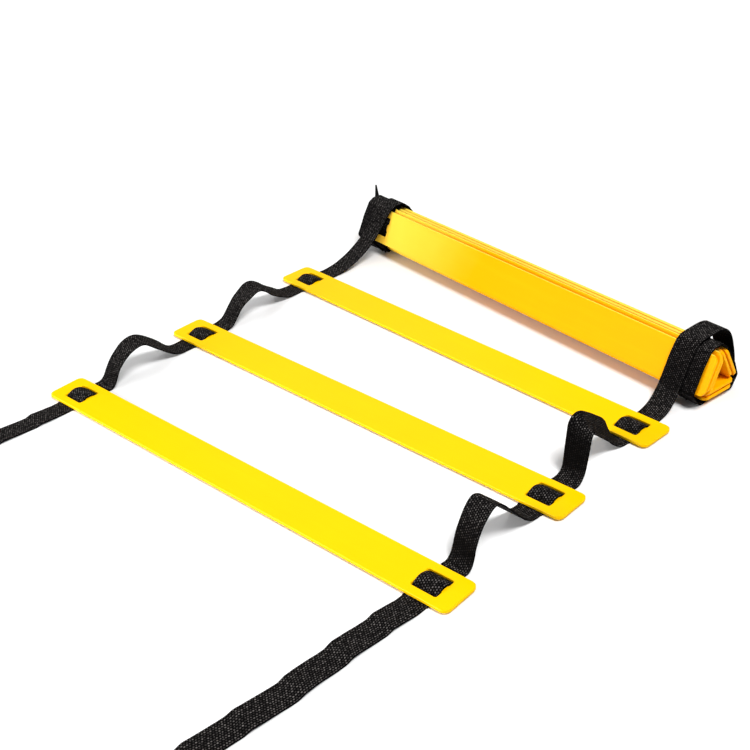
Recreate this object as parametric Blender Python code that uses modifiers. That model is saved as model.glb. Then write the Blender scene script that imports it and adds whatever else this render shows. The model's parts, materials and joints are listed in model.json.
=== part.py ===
"""Agility ladder: three flat rungs laid out and seven rolled into a three-sided bundle.

Metres, +Z up, +X along the rungs, +Y from the first laid rung towards the roll.
Every strap is a flat band that is swept along its route and given its thickness.
"""
import math

import bmesh
import bpy
import numpy as np
from mathutils import Matrix, Vector

# ---------------------------------------------------------------- driving sizes
# rung (a flat slat with a window near each end; a bar splits the window in two)
RUNG_LENGTH = 0.430
RUNG_WIDTH = 0.033
RUNG_THICK = 0.0026
RUNG_CORNER = 0.005
RUNG_EDGE = 0.0004
RIM_WIDTH = 0.007
BAR_WIDTH = 0.006
SLOT_INSET = 0.0245
SLOT_CORNER = 0.0014

# strap
STRAP_WIDTH = 0.020
STRAP_THICK = 0.0011
STRAP_SIDE_CLEAR = 0.0006
GAP = 0.0003
WIND_GAP = 0.0005
PASS_CROWN = 0.0013
PASS_REACH = 0.0010
BAND_STEP = 0.0055
TAIL_STEP = 0.0080

# places of the laid rungs and of the roll (first rung at 0, 0)
RUNG_2_SIDE = 0.0032
RUNG_2_STEP = 0.1229
RUNG_3_SIDE = 0.0061
RUNG_3_STEP = 0.2429
ROLL_SIDE = 0.0166
ROLL_STEP = 0.3370
RUNG_YAWS = (0.0, -1.67, -5.42)
ROLL_YAW = -10.35

# how far the strap stands up between the laid rungs
RISE_LEFT_12 = 0.0267
RISE_LEFT_23 = 0.0234
RISE_RIGHT_12 = 0.0364
RISE_RIGHT_23 = 0.0385

# roll: how much narrower the hollow's bottom is than a rung, slip of rungs along their face
BASE_TUCK = 0.0030
SLIP_4 = 0.0025
SLIP_5 = 0.0030
SLIP_7 = 0.0007
SLIP_10 = 0.0019
# roll: how far the rungs of each face are shifted along their length
SHIFT_FRONT = 0.0035
SHIFT_FRONT_INNER = 0.0025
SHIFT_BACK = -0.0020
SHIFT_BOTTOM = -0.0010
CORNER_CUT = 0.0016
CREST_CLEAR = 0.0046
CREST_INNER = 0.0001
TUCK_DEPTH = 0.0020

# windings round the two ends of the roll: how far their middles lie in from the rungs' ends
WIND_LEFT_INSET = 0.0290
WIND_LEFT_INNER_INSET = 0.0110
WIND_RIGHT_INSET = 0.0245
WIND_RIGHT_INNER_INSET = 0.0125
FRONT_EASE = 0.0110
RING_START = 0.0015
RING_STEP = 0.0040
RING_STANDOFF = 0.0060
RING_LIFT = 0.0038
END_CURL = 0.0020
RAMP_LEAD = 0.0040

# left far end, standing up behind the roll
HORN_INSIDE = 0.0160
HORN_UP = 0.0135
HORN_CLEAR = 0.0016
HORN_OUTSIDE = 0.0058
HORN_RISE = 0.0210
HORN_TURN = 0.0090
HORN_LEAN = (-0.13, 0.05, 1.0)
HORN_FACE = (0.98, -0.20, 0.0)
HORN_TIP_FACE = (0.83, -0.56, 0.0)

# free tails in front of the first rung: points of their middle lines on the floor
TAIL_LEFT_ROUTE = (
    (-0.1915, -0.0400), (-0.1938, -0.0620), (-0.1963, -0.0860), (-0.1985, -0.1150),
    (-0.2000, -0.1500), (-0.2008, -0.1900), (-0.2020, -0.2300), (-0.2045, -0.2700),
    (-0.2080, -0.3150),
)
TAIL_RIGHT_ROUTE = (
    (0.1885, -0.0385), (0.1870, -0.0550), (0.1852, -0.0710), (0.1846, -0.0870),
    (0.1830, -0.1020), (0.1827, -0.1180), (0.1808, -0.1320), (0.1790, -0.1460),
    (0.1770, -0.1600), (0.1735, -0.1900), (0.1690, -0.2250), (0.1650, -0.2650),
    (0.1620, -0.3150),
)

# ------------------------------------------------------- shapes as shares of sizes
# rising legs of the humps: sideways turn in degrees, sideways shift, share of the way they take
LEG_TURN = -8.0
LEG_TURN_RIGHT_23 = -16.0
LEG_SHIFT = 0.0020
LEG_SHARE = 0.42
# humps: share of the way, share of the rise, bank in degrees (left edge up)
LEFT_12_SHARES = (
    (0.0, 0.0, 0), (0.084, 0.045, 0), (0.137, 0.352, 0), (0.189, 0.614, 0),
    (0.263, 0.82, 0), (0.347, 0.951, 2), (0.442, 1.0, 5), (0.505, 0.963, 10),
    (0.589, 0.745, 15), (0.674, 0.502, 15), (0.747, 0.277, 13), (0.81, 0.09, 6),
    (0.874, 0.011, 0), (1.0, 0.0, 0),
)
LEFT_23_SHARES = (
    (0.0, 0.0, 0), (0.092, 0.08, 0), (0.148, 0.295, 0), (0.204, 0.55, 0),
    (0.276, 0.765, 2), (0.367, 0.893, 5), (0.439, 1.0, 9), (0.51, 0.98, 12),
    (0.582, 0.786, 14), (0.643, 0.55, 14), (0.714, 0.36, 13), (0.786, 0.188, 9),
    (0.857, 0.05, 3), (1.0, 0.0, 0),
)
RIGHT_12_SHARES = (
    (0.0, 0.0, 0), (0.077, 0.01, 0), (0.123, 0.17, 0), (0.169, 0.5, 0),
    (0.226, 0.735, 0), (0.298, 0.893, 0), (0.381, 0.985, 0), (0.44, 1.0, 0),
    (0.506, 0.925, 0), (0.583, 0.735, 0), (0.679, 0.476, 0), (0.774, 0.237, 0),
    (0.857, 0.07, 0), (0.929, 0.01, 0), (1.0, 0.0, 0),
)
RIGHT_23_SHARES = (
    (0.0, 0.0, 0), (0.07, 0.0, 0), (0.13, 0.04, 4), (0.18, 0.176, 12),
    (0.23, 0.54, 19), (0.28, 0.88, 21), (0.34, 1.0, 28), (0.42, 0.96, 36),
    (0.52, 0.826, 39), (0.62, 0.677, 41), (0.71, 0.535, 43), (0.79, 0.41, 44),
    (0.86, 0.25, 40), (0.93, 0.09, 22), (1.0, 0.0, 0),
)
# ramps: share of the way, share of the rise
LEFT_RAMP_SHARES = ((0.0, 0.0), (0.12, 0.01), (0.28, 0.065), (0.46, 0.19),
                    (0.64, 0.375), (0.82, 0.64), (1.0, 1.0))
RIGHT_RAMP_SHARES = ((0.0, 0.0), (0.3, 0.02), (0.6, 0.22), (0.82, 0.58), (1.0, 1.0))
# where the wound strap leaves the slope under the roll's front edge
TUCK_SHARE = 0.35
# loose ring at the right end: share of the way across, share of its height
RING_SHARES = (
    (0.063, 0.935), (0.16, 0.965), (0.337, 0.985), (0.50, 1.0), (0.64, 1.0),
    (0.77, 0.965), (0.87, 0.86), (0.94, 0.68), (0.985, 0.47), (1.0, 0.27),
    (0.975, 0.13), (0.90, 0.025), (0.83, 0.0),
)

# ------------------------------------------------------------------ derived sizes
HALF_WIDTH = RUNG_WIDTH / 2
RIM_INNER = HALF_WIDTH - RIM_WIDTH
BAR_HALF = BAR_WIDTH / 2
SLOT_LENGTH = STRAP_WIDTH + 2 * STRAP_SIDE_CLEAR
WINDOW_X = RUNG_LENGTH / 2 - SLOT_INSET
STRAP_LOW = -(GAP + STRAP_THICK / 2)
STRAP_TIGHT = RUNG_THICK + GAP + STRAP_THICK / 2
FLOOR_BAND = STRAP_THICK / 2
RUNG_BASE = STRAP_THICK + GAP
PITCH = RUNG_THICK + STRAP_THICK + 2 * GAP
WIND_STEP = STRAP_THICK + WIND_GAP
PASS_END = HALF_WIDTH + PASS_REACH
BUNDLE_BASE = 3 * STRAP_THICK + WIND_GAP + 2 * GAP
WIND_LEFT_START = WIND_LEFT_INSET - RUNG_LENGTH / 2
WIND_LEFT_FRONT = WIND_LEFT_INNER_INSET - RUNG_LENGTH / 2
WIND_RIGHT_START = RUNG_LENGTH / 2 - WIND_RIGHT_INSET
WIND_RIGHT_SECOND = RUNG_LENGTH / 2 - WIND_RIGHT_INNER_INSET
LEFT_WINDOW = SHIFT_FRONT - WINDOW_X
RIGHT_WINDOW = SHIFT_FRONT + WINDOW_X
END_WINDOW = SHIFT_FRONT_INNER + WINDOW_X
HOLLOW_BASE = RUNG_WIDTH - BASE_TUCK
SLIP_9 = GAP + BASE_TUCK / 2
HOLLOW_SIDE = RUNG_WIDTH + 2 * GAP
HOLLOW_HEIGHT = math.sqrt(HOLLOW_SIDE ** 2 - (HOLLOW_BASE / 2) ** 2)
LEAN_COS = HOLLOW_BASE / 2 / HOLLOW_SIDE
LEAN_SIN = HOLLOW_HEIGHT / HOLLOW_SIDE
INNER_BOTTOM = BUNDLE_BASE + RUNG_THICK + PITCH

YELLOW = ("rung_yellow", (1.0, 0.68, 0.0, 1.0), 0.42)
BLACK = ("strap_black", (0.018, 0.018, 0.021, 1.0), 0.85)
LADDER_NAME = "agility_ladder"


# ------------------------------------------------------------------------- helpers
def clear_scene():
    """Take the start-up objects out of the file."""
    for item in list(bpy.data.objects):
        bpy.data.objects.remove(item, do_unlink=True)


def make_material(spec):
    """A plain shader material with a colour and a roughness."""
    name, colour, rough = spec
    material = bpy.data.materials.new(name)
    material.use_nodes = True
    shader = material.node_tree.nodes["Principled BSDF"]
    shader.inputs["Base Color"].default_value = colour
    shader.inputs["Roughness"].default_value = rough
    shader.inputs["Metallic"].default_value = 0.0
    material.diffuse_color = colour
    return material


def add_object(name, mesh, collection, parent, matrix):
    """Link a mesh as one named piece under its parent."""
    item = bpy.data.objects.new(name, mesh)
    collection.objects.link(item)
    item.parent = parent
    item.matrix_local = matrix
    return item


def add_empty(name, collection, parent, matrix):
    """A frame that carries pieces."""
    return add_object(name, None, collection, parent, matrix)


def placed(x, y, z, yaw):
    """The matrix of a place on the floor turned by yaw degrees."""
    return Matrix.Translation((x, y, z)) @ Matrix.Rotation(math.radians(yaw), 4, "Z")


def rounded_box(centre_x, centre_y, size_x, size_y, radius, steps):
    """Points of a rectangle with round corners, counter-clockwise."""
    points = []
    for quarter in range(4):
        sign_x = (1, -1, -1, 1)[quarter]
        sign_y = (1, 1, -1, -1)[quarter]
        corner_x = centre_x + sign_x * (size_x / 2 - radius)
        corner_y = centre_y + sign_y * (size_y / 2 - radius)
        for step in range(steps + 1):
            angle = math.radians(90 * quarter + 90 * step / steps)
            points.append((corner_x + radius * math.cos(angle), corner_y + radius * math.sin(angle)))
    return points


def add_outline(curve, points):
    """Add one closed straight-sided outline to a flat curve."""
    spline = curve.splines.new("POLY")
    spline.points.add(len(points) - 1)
    for target, (x, y) in zip(spline.points, points):
        target.co = (x, y, 0.0, 1.0)
    spline.use_cyclic_u = True


def rung_mesh(material):
    """The slat with its two windows and their bars, underside at z = 0."""
    curve = bpy.data.curves.new("rung_outline", "CURVE")
    curve.dimensions = "2D"
    curve.fill_mode = "BOTH"
    curve.extrude = RUNG_THICK / 2 - RUNG_EDGE
    curve.bevel_depth = RUNG_EDGE
    curve.bevel_resolution = 0
    curve.offset = -RUNG_EDGE
    add_outline(curve, rounded_box(0, 0, RUNG_LENGTH, RUNG_WIDTH, RUNG_CORNER, 4))
    slot_height = RIM_INNER - BAR_HALF
    slot_y = (RIM_INNER + BAR_HALF) / 2
    for side_x in (-1, 1):
        for side_y in (-1, 1):
            outline = rounded_box(side_x * WINDOW_X, side_y * slot_y, SLOT_LENGTH, slot_height,
                                  SLOT_CORNER, 2)
            add_outline(curve, outline[::-1])
    holder = bpy.data.objects.new("rung_outline", curve)
    bpy.context.scene.collection.objects.link(holder)
    bpy.context.view_layer.update()
    graph = bpy.context.evaluated_depsgraph_get()
    mesh = bpy.data.meshes.new_from_object(holder.evaluated_get(graph))
    bpy.data.objects.remove(holder, do_unlink=True)
    work = bmesh.new()
    work.from_mesh(mesh)
    bmesh.ops.remove_doubles(work, verts=work.verts, dist=RUNG_EDGE / 20)
    bmesh.ops.translate(work, verts=work.verts, vec=(0.0, 0.0, RUNG_THICK / 2))
    bmesh.ops.recalc_face_normals(work, faces=work.faces)
    work.to_mesh(mesh)
    work.free()
    mesh.name = "rung"
    mesh.materials.clear()
    mesh.materials.append(material)
    return mesh


def smooth_route(points, step):
    """Points at even steps along a smooth curve through the given points."""
    knots = [np.array(point, dtype=float) for point in points]
    knots = [2 * knots[0] - knots[1]] + knots + [2 * knots[-1] - knots[-2]]
    dense = []
    parts = 24
    for index in range(1, len(knots) - 2):
        before, start, end, after = knots[index - 1:index + 3]
        for part in range(parts):
            t = part / parts
            dense.append(0.5 * (2 * start + (end - before) * t
                                + (2 * before - 5 * start + 4 * end - after) * t * t
                                + (3 * start - before - 3 * end + after) * t * t * t))
    dense.append(knots[-2])
    dense = np.array(dense)
    lengths = np.linalg.norm(np.diff(dense[:, :3], axis=0), axis=1)
    along = np.concatenate([[0.0], np.cumsum(lengths)])
    count = max(2, int(round(along[-1] / step)))
    wanted = np.linspace(0.0, along[-1], count + 1)
    return [np.array([np.interp(value, along, dense[:, axis]) for axis in range(dense.shape[1])])
            for value in wanted]


def band(name, centres, widths, material, collection, parent, matrix):
    """A flat strap: a grid strip laid along the centres, then given its thickness."""
    count = len(centres) - 1
    work = bmesh.new()
    bmesh.ops.create_grid(work, x_segments=count, y_segments=1, size=1.0)
    for vertex in work.verts:
        index = int(round((vertex.co.x + 1) / 2 * count))
        side = 1 if vertex.co.y > 0 else -1
        vertex.co = Vector(centres[index]) + Vector(widths[index]).normalized() * (side * STRAP_WIDTH / 2)
    mesh = bpy.data.meshes.new(name)
    work.to_mesh(mesh)
    work.free()
    mesh.materials.append(material)
    item = add_object(name, mesh, collection, parent, matrix)
    solid = item.modifiers.new("thickness", "SOLIDIFY")
    solid.thickness = STRAP_THICK
    solid.offset = 0.0
    solid.use_even_offset = True
    return item


def banked(centres, widths, banks):
    """Turn each width direction about the route by its bank, left edge up."""
    turned = []
    for index, width in enumerate(widths):
        ahead = Vector(centres[min(index + 1, len(centres) - 1)])
        behind = Vector(centres[max(index - 1, 0)])
        tangent = (ahead - behind).normalized()
        across = Vector(width).normalized()
        normal = across.cross(tangent).normalized()
        angle = math.radians(banks[index])
        turned.append(across * math.cos(angle) - normal * math.sin(angle))
    return turned


# ------------------------------------------------------------------ laid rungs
def laid_place(index):
    """Side, step and yaw of laid rung 1, 2 or 3."""
    sides = (0.0, RUNG_2_SIDE, RUNG_3_SIDE)
    steps = (0.0, RUNG_2_STEP, RUNG_3_STEP)
    return sides[index - 1], steps[index - 1], RUNG_YAWS[index - 1]


def laid_matrix(index):
    """The frame of a laid rung: its underside's middle."""
    side, step, yaw = laid_place(index)
    return placed(side, step, RUNG_BASE, yaw)


def pass_profile(reach):
    """Route of the strap through a laid rung's window: along, height above the underside."""
    crown = STRAP_TIGHT + PASS_CROWN
    middle = (RIM_INNER + BAR_HALF) / 2
    half = [(reach, STRAP_LOW), (RIM_INNER + STRAP_THICK, STRAP_LOW), (RIM_INNER, STRAP_LOW),
            (RIM_INNER - STRAP_THICK * 0.75, STRAP_LOW + STRAP_THICK * 0.35),
            (middle, RUNG_THICK * 0.72), (BAR_HALF + STRAP_THICK * 0.85, crown - STRAP_THICK * 0.75),
            (BAR_HALF * 0.55, crown - STRAP_THICK * 0.12)]
    return [(-a, h) for a, h in half] + [(0.0, crown)] + [(a, h) for a, h in reversed(half)]


def add_pass(side, index, material, collection, parent):
    """The strap under the rims and over the bar of one laid rung."""
    label = "left" if side < 0 else "right"
    centres = [Vector((side * WINDOW_X, a, h)) for a, h in pass_profile(PASS_END)]
    widths = [Vector((1, 0, 0))] * len(centres)
    return band(f"strap_pass_{label}_{index}", centres, widths, material, collection, parent,
                Matrix.Identity(4))


def rim_point(side, index, direction, reach):
    """A point on the strap's middle line at one rim of a laid rung, in the ladder's frame."""
    local = Vector((side * WINDOW_X, direction * reach, STRAP_LOW))
    return laid_matrix(index) @ local


def rung_axis(yaw):
    """The direction along a rung with this yaw."""
    return Vector((math.cos(math.radians(yaw)), math.sin(math.radians(yaw)), 0.0))


def add_hump(side, first, rise, shares, leg_turn, material, collection, parent):
    """The strap's hump from one laid rung to the next."""
    label = "left" if side < 0 else "right"
    start = rim_point(side, first, 1, PASS_END + GAP)
    end = rim_point(side, first + 1, -1, PASS_END + GAP)
    start_axis = rung_axis(RUNG_YAWS[first - 1])
    end_axis = rung_axis(RUNG_YAWS[first])
    table = []
    for way, lift, bank in shares:
        place = start.lerp(end, way)
        table.append((place.x, place.y, FLOOR_BAND + rise * lift, way, bank))
    route = smooth_route(table, BAND_STEP)
    centres, widths = [], []
    for point in route:
        leg = math.sin(math.pi * min(1.0, max(0.0, point[3]) / LEG_SHARE))
        centres.append(Vector((point[0] + LEG_SHIFT * leg, point[1], max(point[2], FLOOR_BAND))))
        turn = Matrix.Rotation(math.radians(leg_turn * leg), 3, "Z")
        widths.append(turn @ start_axis.lerp(end_axis, point[3]))
    banks = [max(point[4], 0.0) for point in route]
    widths = banked(centres, widths, banks)
    return band(f"strap_hump_{label}_{first}{first + 1}", centres, widths, material, collection,
                parent, Matrix.Identity(4))


def add_tail(side, route, material, collection, parent):
    """The free strap in front of the first rung, lying on the floor."""
    label = "left" if side < 0 else "right"
    start = rim_point(side, 1, -1, PASS_END + GAP)
    lead = start - Vector((0.0, RIM_WIDTH, 0.0))
    table = [tuple(start), (lead.x, lead.y, FLOOR_BAND)]
    table += [(x, y, FLOOR_BAND) for x, y in route]
    centres = [Vector(point) for point in smooth_route(table, TAIL_STEP)]
    widths = []
    for index, centre in enumerate(centres):
        ahead = centres[min(index + 1, len(centres) - 1)]
        behind = centres[max(index - 1, 0)]
        run = (ahead - behind).normalized()
        widths.append(Vector((-run.y, run.x, 0.0)))
    widths[0] = rung_axis(RUNG_YAWS[0])
    length = sum((b - a).length for a, b in zip(centres, centres[1:]))
    print(f"strap_tail_{label} length {length:.4f}")
    return band(f"strap_tail_{label}", centres, widths, material, collection, parent,
                Matrix.Identity(4))


# ------------------------------------------------------------------------- the roll
# section of the roll: s runs to the back, z up; each face has its own frame
FACES = {
    "bottom": ((0.0, 0.0), (-1.0, 0.0), (0.0, -1.0)),
    "front": ((-HOLLOW_BASE / 4, HOLLOW_HEIGHT / 2), (LEAN_COS, LEAN_SIN), (-LEAN_SIN, LEAN_COS)),
    "back": ((HOLLOW_BASE / 4, HOLLOW_HEIGHT / 2), (LEAN_COS, -LEAN_SIN), (LEAN_SIN, LEAN_COS)),
}
# rolled rungs: face, layer from the inside, slip along the face, shift along the rung
ROLLED = {
    4: ("front", 3, -SLIP_4, SHIFT_FRONT), 5: ("back", 2, SLIP_5, SHIFT_BACK),
    6: ("bottom", 2, 0.0, SHIFT_BOTTOM), 7: ("front", 2, SLIP_7, SHIFT_FRONT),
    8: ("back", 1, 0.0, SHIFT_BACK), 9: ("bottom", 1, -SLIP_9, SHIFT_BOTTOM),
    10: ("front", 1, -SLIP_10, SHIFT_FRONT_INNER),
}


def face_point(face, along, out):
    """A section point on a face: along the strap's travel, outward from the hollow."""
    middle, travel, normal = FACES[face]
    s = middle[0] + along * travel[0] + out * normal[0]
    z = INNER_BOTTOM + middle[1] + along * travel[1] + out * normal[1]
    return np.array([s, z])


def rolled_point(index, along, height):
    """A section point in a rolled rung's own frame."""
    face, layer, slip, shift = ROLLED[index]
    return face_point(face, along + slip, (layer - 1) * PITCH + height)


def roll_matrix():
    """The roll's frame on the floor: x along the rungs, y across, z up."""
    return placed(ROLL_SIDE, ROLL_STEP, 0.0, ROLL_YAW)


def rolled_matrix(index):
    """Frame of a rolled rung inside the roll's frame."""
    face, layer, slip, shift = ROLLED[index]
    travel = FACES[face][1]
    normal = FACES[face][2]
    place = rolled_point(index, 0.0, 0.0)
    axis_x = Vector((1.0, 0.0, 0.0))
    axis_y = Vector((0.0, travel[0], travel[1]))
    axis_z = Vector((0.0, normal[0], normal[1]))
    turn = Matrix((axis_x, axis_y, axis_z)).transposed().to_4x4()
    return Matrix.Translation((shift, place[0], place[1])) @ turn


def tight_pass(index):
    """Section points of the strap through one rolled rung."""
    run_out = BAR_HALF + STRAP_THICK / 2
    rim_in = RIM_INNER - GAP * 0.6
    profile = [(-rim_in, STRAP_LOW), (-run_out, STRAP_TIGHT), (run_out, STRAP_TIGHT), (rim_in, STRAP_LOW)]
    return [rolled_point(index, a, h) for a, h in profile]


def line_cross(first, second):
    """Where the strap's line on one face meets its line on the next."""
    p = face_point(first[0], 0.0, first[1])
    q = face_point(second[0], 0.0, second[1])
    d = np.array(FACES[first[0]][1])
    e = np.array(FACES[second[0]][1])
    k = np.linalg.solve(np.array([d, -e]).T, q - p)
    return p + k[0] * d, d, e


def strap_line(index):
    """Face and outward level of the strap where it leaves a rolled rung."""
    face, layer, slip, shift = ROLLED[index]
    return face, (layer - 1) * PITCH + STRAP_LOW


def corner(index):
    """Section points of the strap from one rolled rung to the next."""
    first, second = strap_line(index), strap_line(index + 1)
    meet, d, e = line_cross(first, second)
    if first[0] == "front":
        top = face_point("front", HOLLOW_SIDE / 2, 0.0)[1]
        level = top + (CREST_CLEAR if index == 4 else CREST_INNER)
        return [meet - d * (meet[1] - level) / d[1], meet - e * (meet[1] - level) / e[1]]
    return [meet - d * CORNER_CUT, meet + e * CORNER_CUT]


def roll_route(side):
    """The strap's route through the rolled rungs: section points with the place along the roll."""
    def row(point, index):
        return np.array([point[0], point[1], side * WINDOW_X + ROLLED[index][3]])
    points = [row(rolled_point(4, -HALF_WIDTH + TUCK_DEPTH, STRAP_LOW), 4)]
    for index in range(4, 11):
        points += [row(point, index) for point in tight_pass(index)]
        if index < 10:
            leave, arrive = corner(index)
            points += [row(leave, index), row(arrive, index + 1)]
    points.append(row(rolled_point(10, RIM_INNER + STRAP_THICK / 2, STRAP_LOW), 10))
    return points


def round_corners(points, radius):
    """Replace each sharp bend of a section route by a short arc of points."""
    result = [points[0]]
    for before, here, after in zip(points, points[1:], points[2:]):
        back = before - here
        ahead = after - here
        reach = min(radius, np.linalg.norm(back) * 0.45, np.linalg.norm(ahead) * 0.45)
        start = here + back / np.linalg.norm(back) * reach
        end = here + ahead / np.linalg.norm(ahead) * reach
        turn = np.dot(back, ahead) / (np.linalg.norm(back) * np.linalg.norm(ahead))
        steps = 3 if turn > -0.6 else 2
        for step in range(steps + 1):
            t = step / steps
            result.append((1 - t) ** 2 * start + 2 * t * (1 - t) * here + t * t * end)
    result.append(points[-1])
    return result


def least_gap(name, section, places):
    """Print the least gap of a wound strap to itself, measured on close points."""
    points, shifts, along = [], [], []
    total = 0.0
    for index in range(len(section) - 1):
        run = section[index + 1] - section[index]
        length = float(np.linalg.norm(run))
        parts = max(1, int(math.ceil(length / (STRAP_THICK / 5))))
        for part in range(parts):
            points.append(section[index] + run * part / parts)
            shifts.append(places[index] + (places[index + 1] - places[index]) * part / parts)
            along.append(total + length * part / parts)
        total += length
    points, shifts, along = np.array(points), np.array(shifts), np.array(along)
    apart = np.linalg.norm(points[:, None] - points[None], axis=2)
    far = np.abs(along[:, None] - along[None]) > 6 * STRAP_THICK
    beside = np.abs(shifts[:, None] - shifts[None]) < STRAP_WIDTH
    least = apart[far & beside].min() - STRAP_THICK
    print(f"{name} least gap to itself {least * 1000:.3f} mm, length {total:.4f}")
    return least


def section_band(name, section, places, material, collection, parent):
    """A strap whose route is given in the roll's section and along its axis."""
    centres = [Vector((place, point[0], point[1])) for point, place in zip(section, places)]
    widths = [Vector((1, 0, 0))] * len(centres)
    return band(name, centres, widths, material, collection, parent, Matrix.Identity(4))


def add_roll_strap(side, material, collection, parent):
    """The strap that threads the rolled rungs at one end."""
    label = "left" if side < 0 else "right"
    route = round_corners(roll_route(side), STRAP_THICK)
    section = [point[:2] for point in route]
    places = [point[2] for point in route]
    least_gap(f"strap_roll_{label}", section, places)
    return section_band(f"strap_roll_{label}", section, places, material, collection, parent)


def hull(points):
    """Convex outline, clockwise as seen with s to the right and z up."""
    ordered = sorted({(round(p[0], 7), round(p[1], 7)) for p in points})

    def half(items):
        chain = []
        for item in items:
            while len(chain) > 1:
                ax, ay = chain[-1][0] - chain[-2][0], chain[-1][1] - chain[-2][1]
                bx, by = item[0] - chain[-2][0], item[1] - chain[-2][1]
                if ax * by - ay * bx < 0:
                    break
                chain.pop()
            chain.append(item)
        return chain
    upper = half(ordered)
    lower = half(ordered[::-1])
    return [np.array(p) for p in upper[:-1] + lower[:-1]]


def roll_outline():
    """Outline of the rolled rungs with the strap over their bars, flat underneath."""
    points = []
    for index in ROLLED:
        for along in (-HALF_WIDTH, HALF_WIDTH):
            for height in (0.0, RUNG_THICK):
                points.append(rolled_point(index, along, height))
        for along in (-BAR_HALF - STRAP_THICK / 2, BAR_HALF + STRAP_THICK / 2):
            points.append(rolled_point(index, along, STRAP_TIGHT + STRAP_THICK / 2))
    for point in [point for index in range(4, 10) for point in corner(index)]:
        for step in range(12):
            angle = math.radians(30 * step)
            points.append(point + np.array([math.cos(angle), math.sin(angle)]) * STRAP_THICK / 2)
    low = rolled_point(6, 0.0, STRAP_TIGHT + STRAP_THICK / 2)[1]
    points += [np.array([-HALF_WIDTH, low]), np.array([HALF_WIDTH, low])]
    outline = hull(points)
    start = min(range(len(outline)), key=lambda i: outline[i][0])
    return outline[start:] + outline[:start]


def outline_stations(outline):
    """Base points, outward normals and lengths once round the outline."""
    stations = []
    total = 0.0
    count = len(outline)
    for index in range(count):
        here = outline[index]
        before = outline[index - 1]
        after = outline[(index + 1) % count]
        d1 = (here - before) / np.linalg.norm(here - before)
        d2 = (after - here) / np.linalg.norm(after - here)
        n1 = np.array([-d1[1], d1[0]])
        n2 = np.array([-d2[1], d2[0]])
        angle = math.acos(max(-1.0, min(1.0, float(np.dot(n1, n2)))))
        steps = max(1, int(math.ceil(math.degrees(angle) / 24)))
        first = math.atan2(n1[1], n1[0])
        for step in range(steps + 1):
            turn = first - angle * step / steps
            stations.append((total, here, np.array([math.cos(turn), math.sin(turn)])))
        run = float(np.linalg.norm(after - here))
        parts = max(1, int(math.ceil(run / (2 * BAND_STEP))))
        for part in range(1, parts):
            stations.append((total + run * part / parts, here + (after - here) * part / parts, n2))
        total += run
    return stations, total


def edge_station(outline, total, length):
    """Base point and outward normal at any length on a straight run of the outline."""
    rest = length % total
    for index, here in enumerate(outline):
        after = outline[(index + 1) % len(outline)]
        run = float(np.linalg.norm(after - here))
        if rest <= run:
            way = (after - here) / run
            return here + way * rest, np.array([-way[1], way[0]])
        rest -= run
    return outline[0], np.array([-1.0, 0.0])


def wound(table, outline, stations, total, start, end):
    """Section points and places of a band wound on the outline between two lengths."""
    knots = [row[0] for row in table]
    base, normal = edge_station(outline, total, start)
    section = [base + normal * float(np.interp(start, knots, [row[1] for row in table]))]
    places = [float(np.interp(start, knots, [row[2] for row in table]))]
    first = int(math.floor(start / total)) - 1
    last = int(math.floor(end / total)) + 1
    for turn in range(first, last + 1):
        for length, base, normal in stations:
            x = length + turn * total
            if start + GAP < x < end - GAP:
                lift = np.interp(x, knots, [row[1] for row in table])
                section.append(base + normal * lift)
                places.append(float(np.interp(x, knots, [row[2] for row in table])))
    base, normal = edge_station(outline, total, end)
    section.append(base + normal * float(np.interp(end, knots, [row[1] for row in table])))
    places.append(float(np.interp(end, knots, [row[2] for row in table])))
    return section, places


def landmarks(outline):
    """Lengths along the outline: front top, back low, flat bottom's back and front ends."""
    total = 0.0
    marks = {}
    top_front = rolled_point(4, HALF_WIDTH, RUNG_THICK)
    flat_back = max((p for p in outline if p[0] > 0), key=lambda p: (-p[1], p[0]))
    flat_front = min((p for p in outline if p[0] < 0), key=lambda p: (p[1], p[0]))
    for index, here in enumerate(outline):
        if np.linalg.norm(here - top_front) < STRAP_THICK * 2:
            marks["front_top"] = total
        if np.allclose(here, flat_back):
            marks["flat_back"] = total
        if np.allclose(here, flat_front):
            marks["flat_front"] = total
        total += float(np.linalg.norm(outline[(index + 1) % len(outline)] - here))
    marks.setdefault("front_top", float(np.linalg.norm(top_front - outline[0])))
    return marks


def tuck_in(section, places, place):
    """Turn a wound strap's last run in under the lower rim of the outermost rung."""
    goal = rolled_point(4, -HALF_WIDTH + TUCK_DEPTH - GAP, STRAP_LOW)
    travel = np.array(FACES["front"][1])
    run = (section[-1] - section[-2]) / np.linalg.norm(section[-1] - section[-2])
    reach = np.linalg.solve(np.array([run, -travel]).T, goal - section[-1])
    bend = section[-1] + run * reach[0]
    turned = round_corners([section[-1], bend, goal], STRAP_THICK)
    return section + turned[1:], places + [place] * (len(turned) - 1)


def drop_close(section, places):
    """Leave out points that lie closer than half a thickness to the one before."""
    kept_section, kept_places = [section[0]], [places[0]]
    for point, place in zip(section[1:], places[1:]):
        if np.linalg.norm(point - kept_section[-1]) > STRAP_THICK * 0.45:
            kept_section.append(point)
            kept_places.append(place)
    return kept_section, kept_places


def first_run(section):
    """The direction in which a wound strap sets out."""
    run = section[1] - section[0]
    return run / np.linalg.norm(run)


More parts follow.
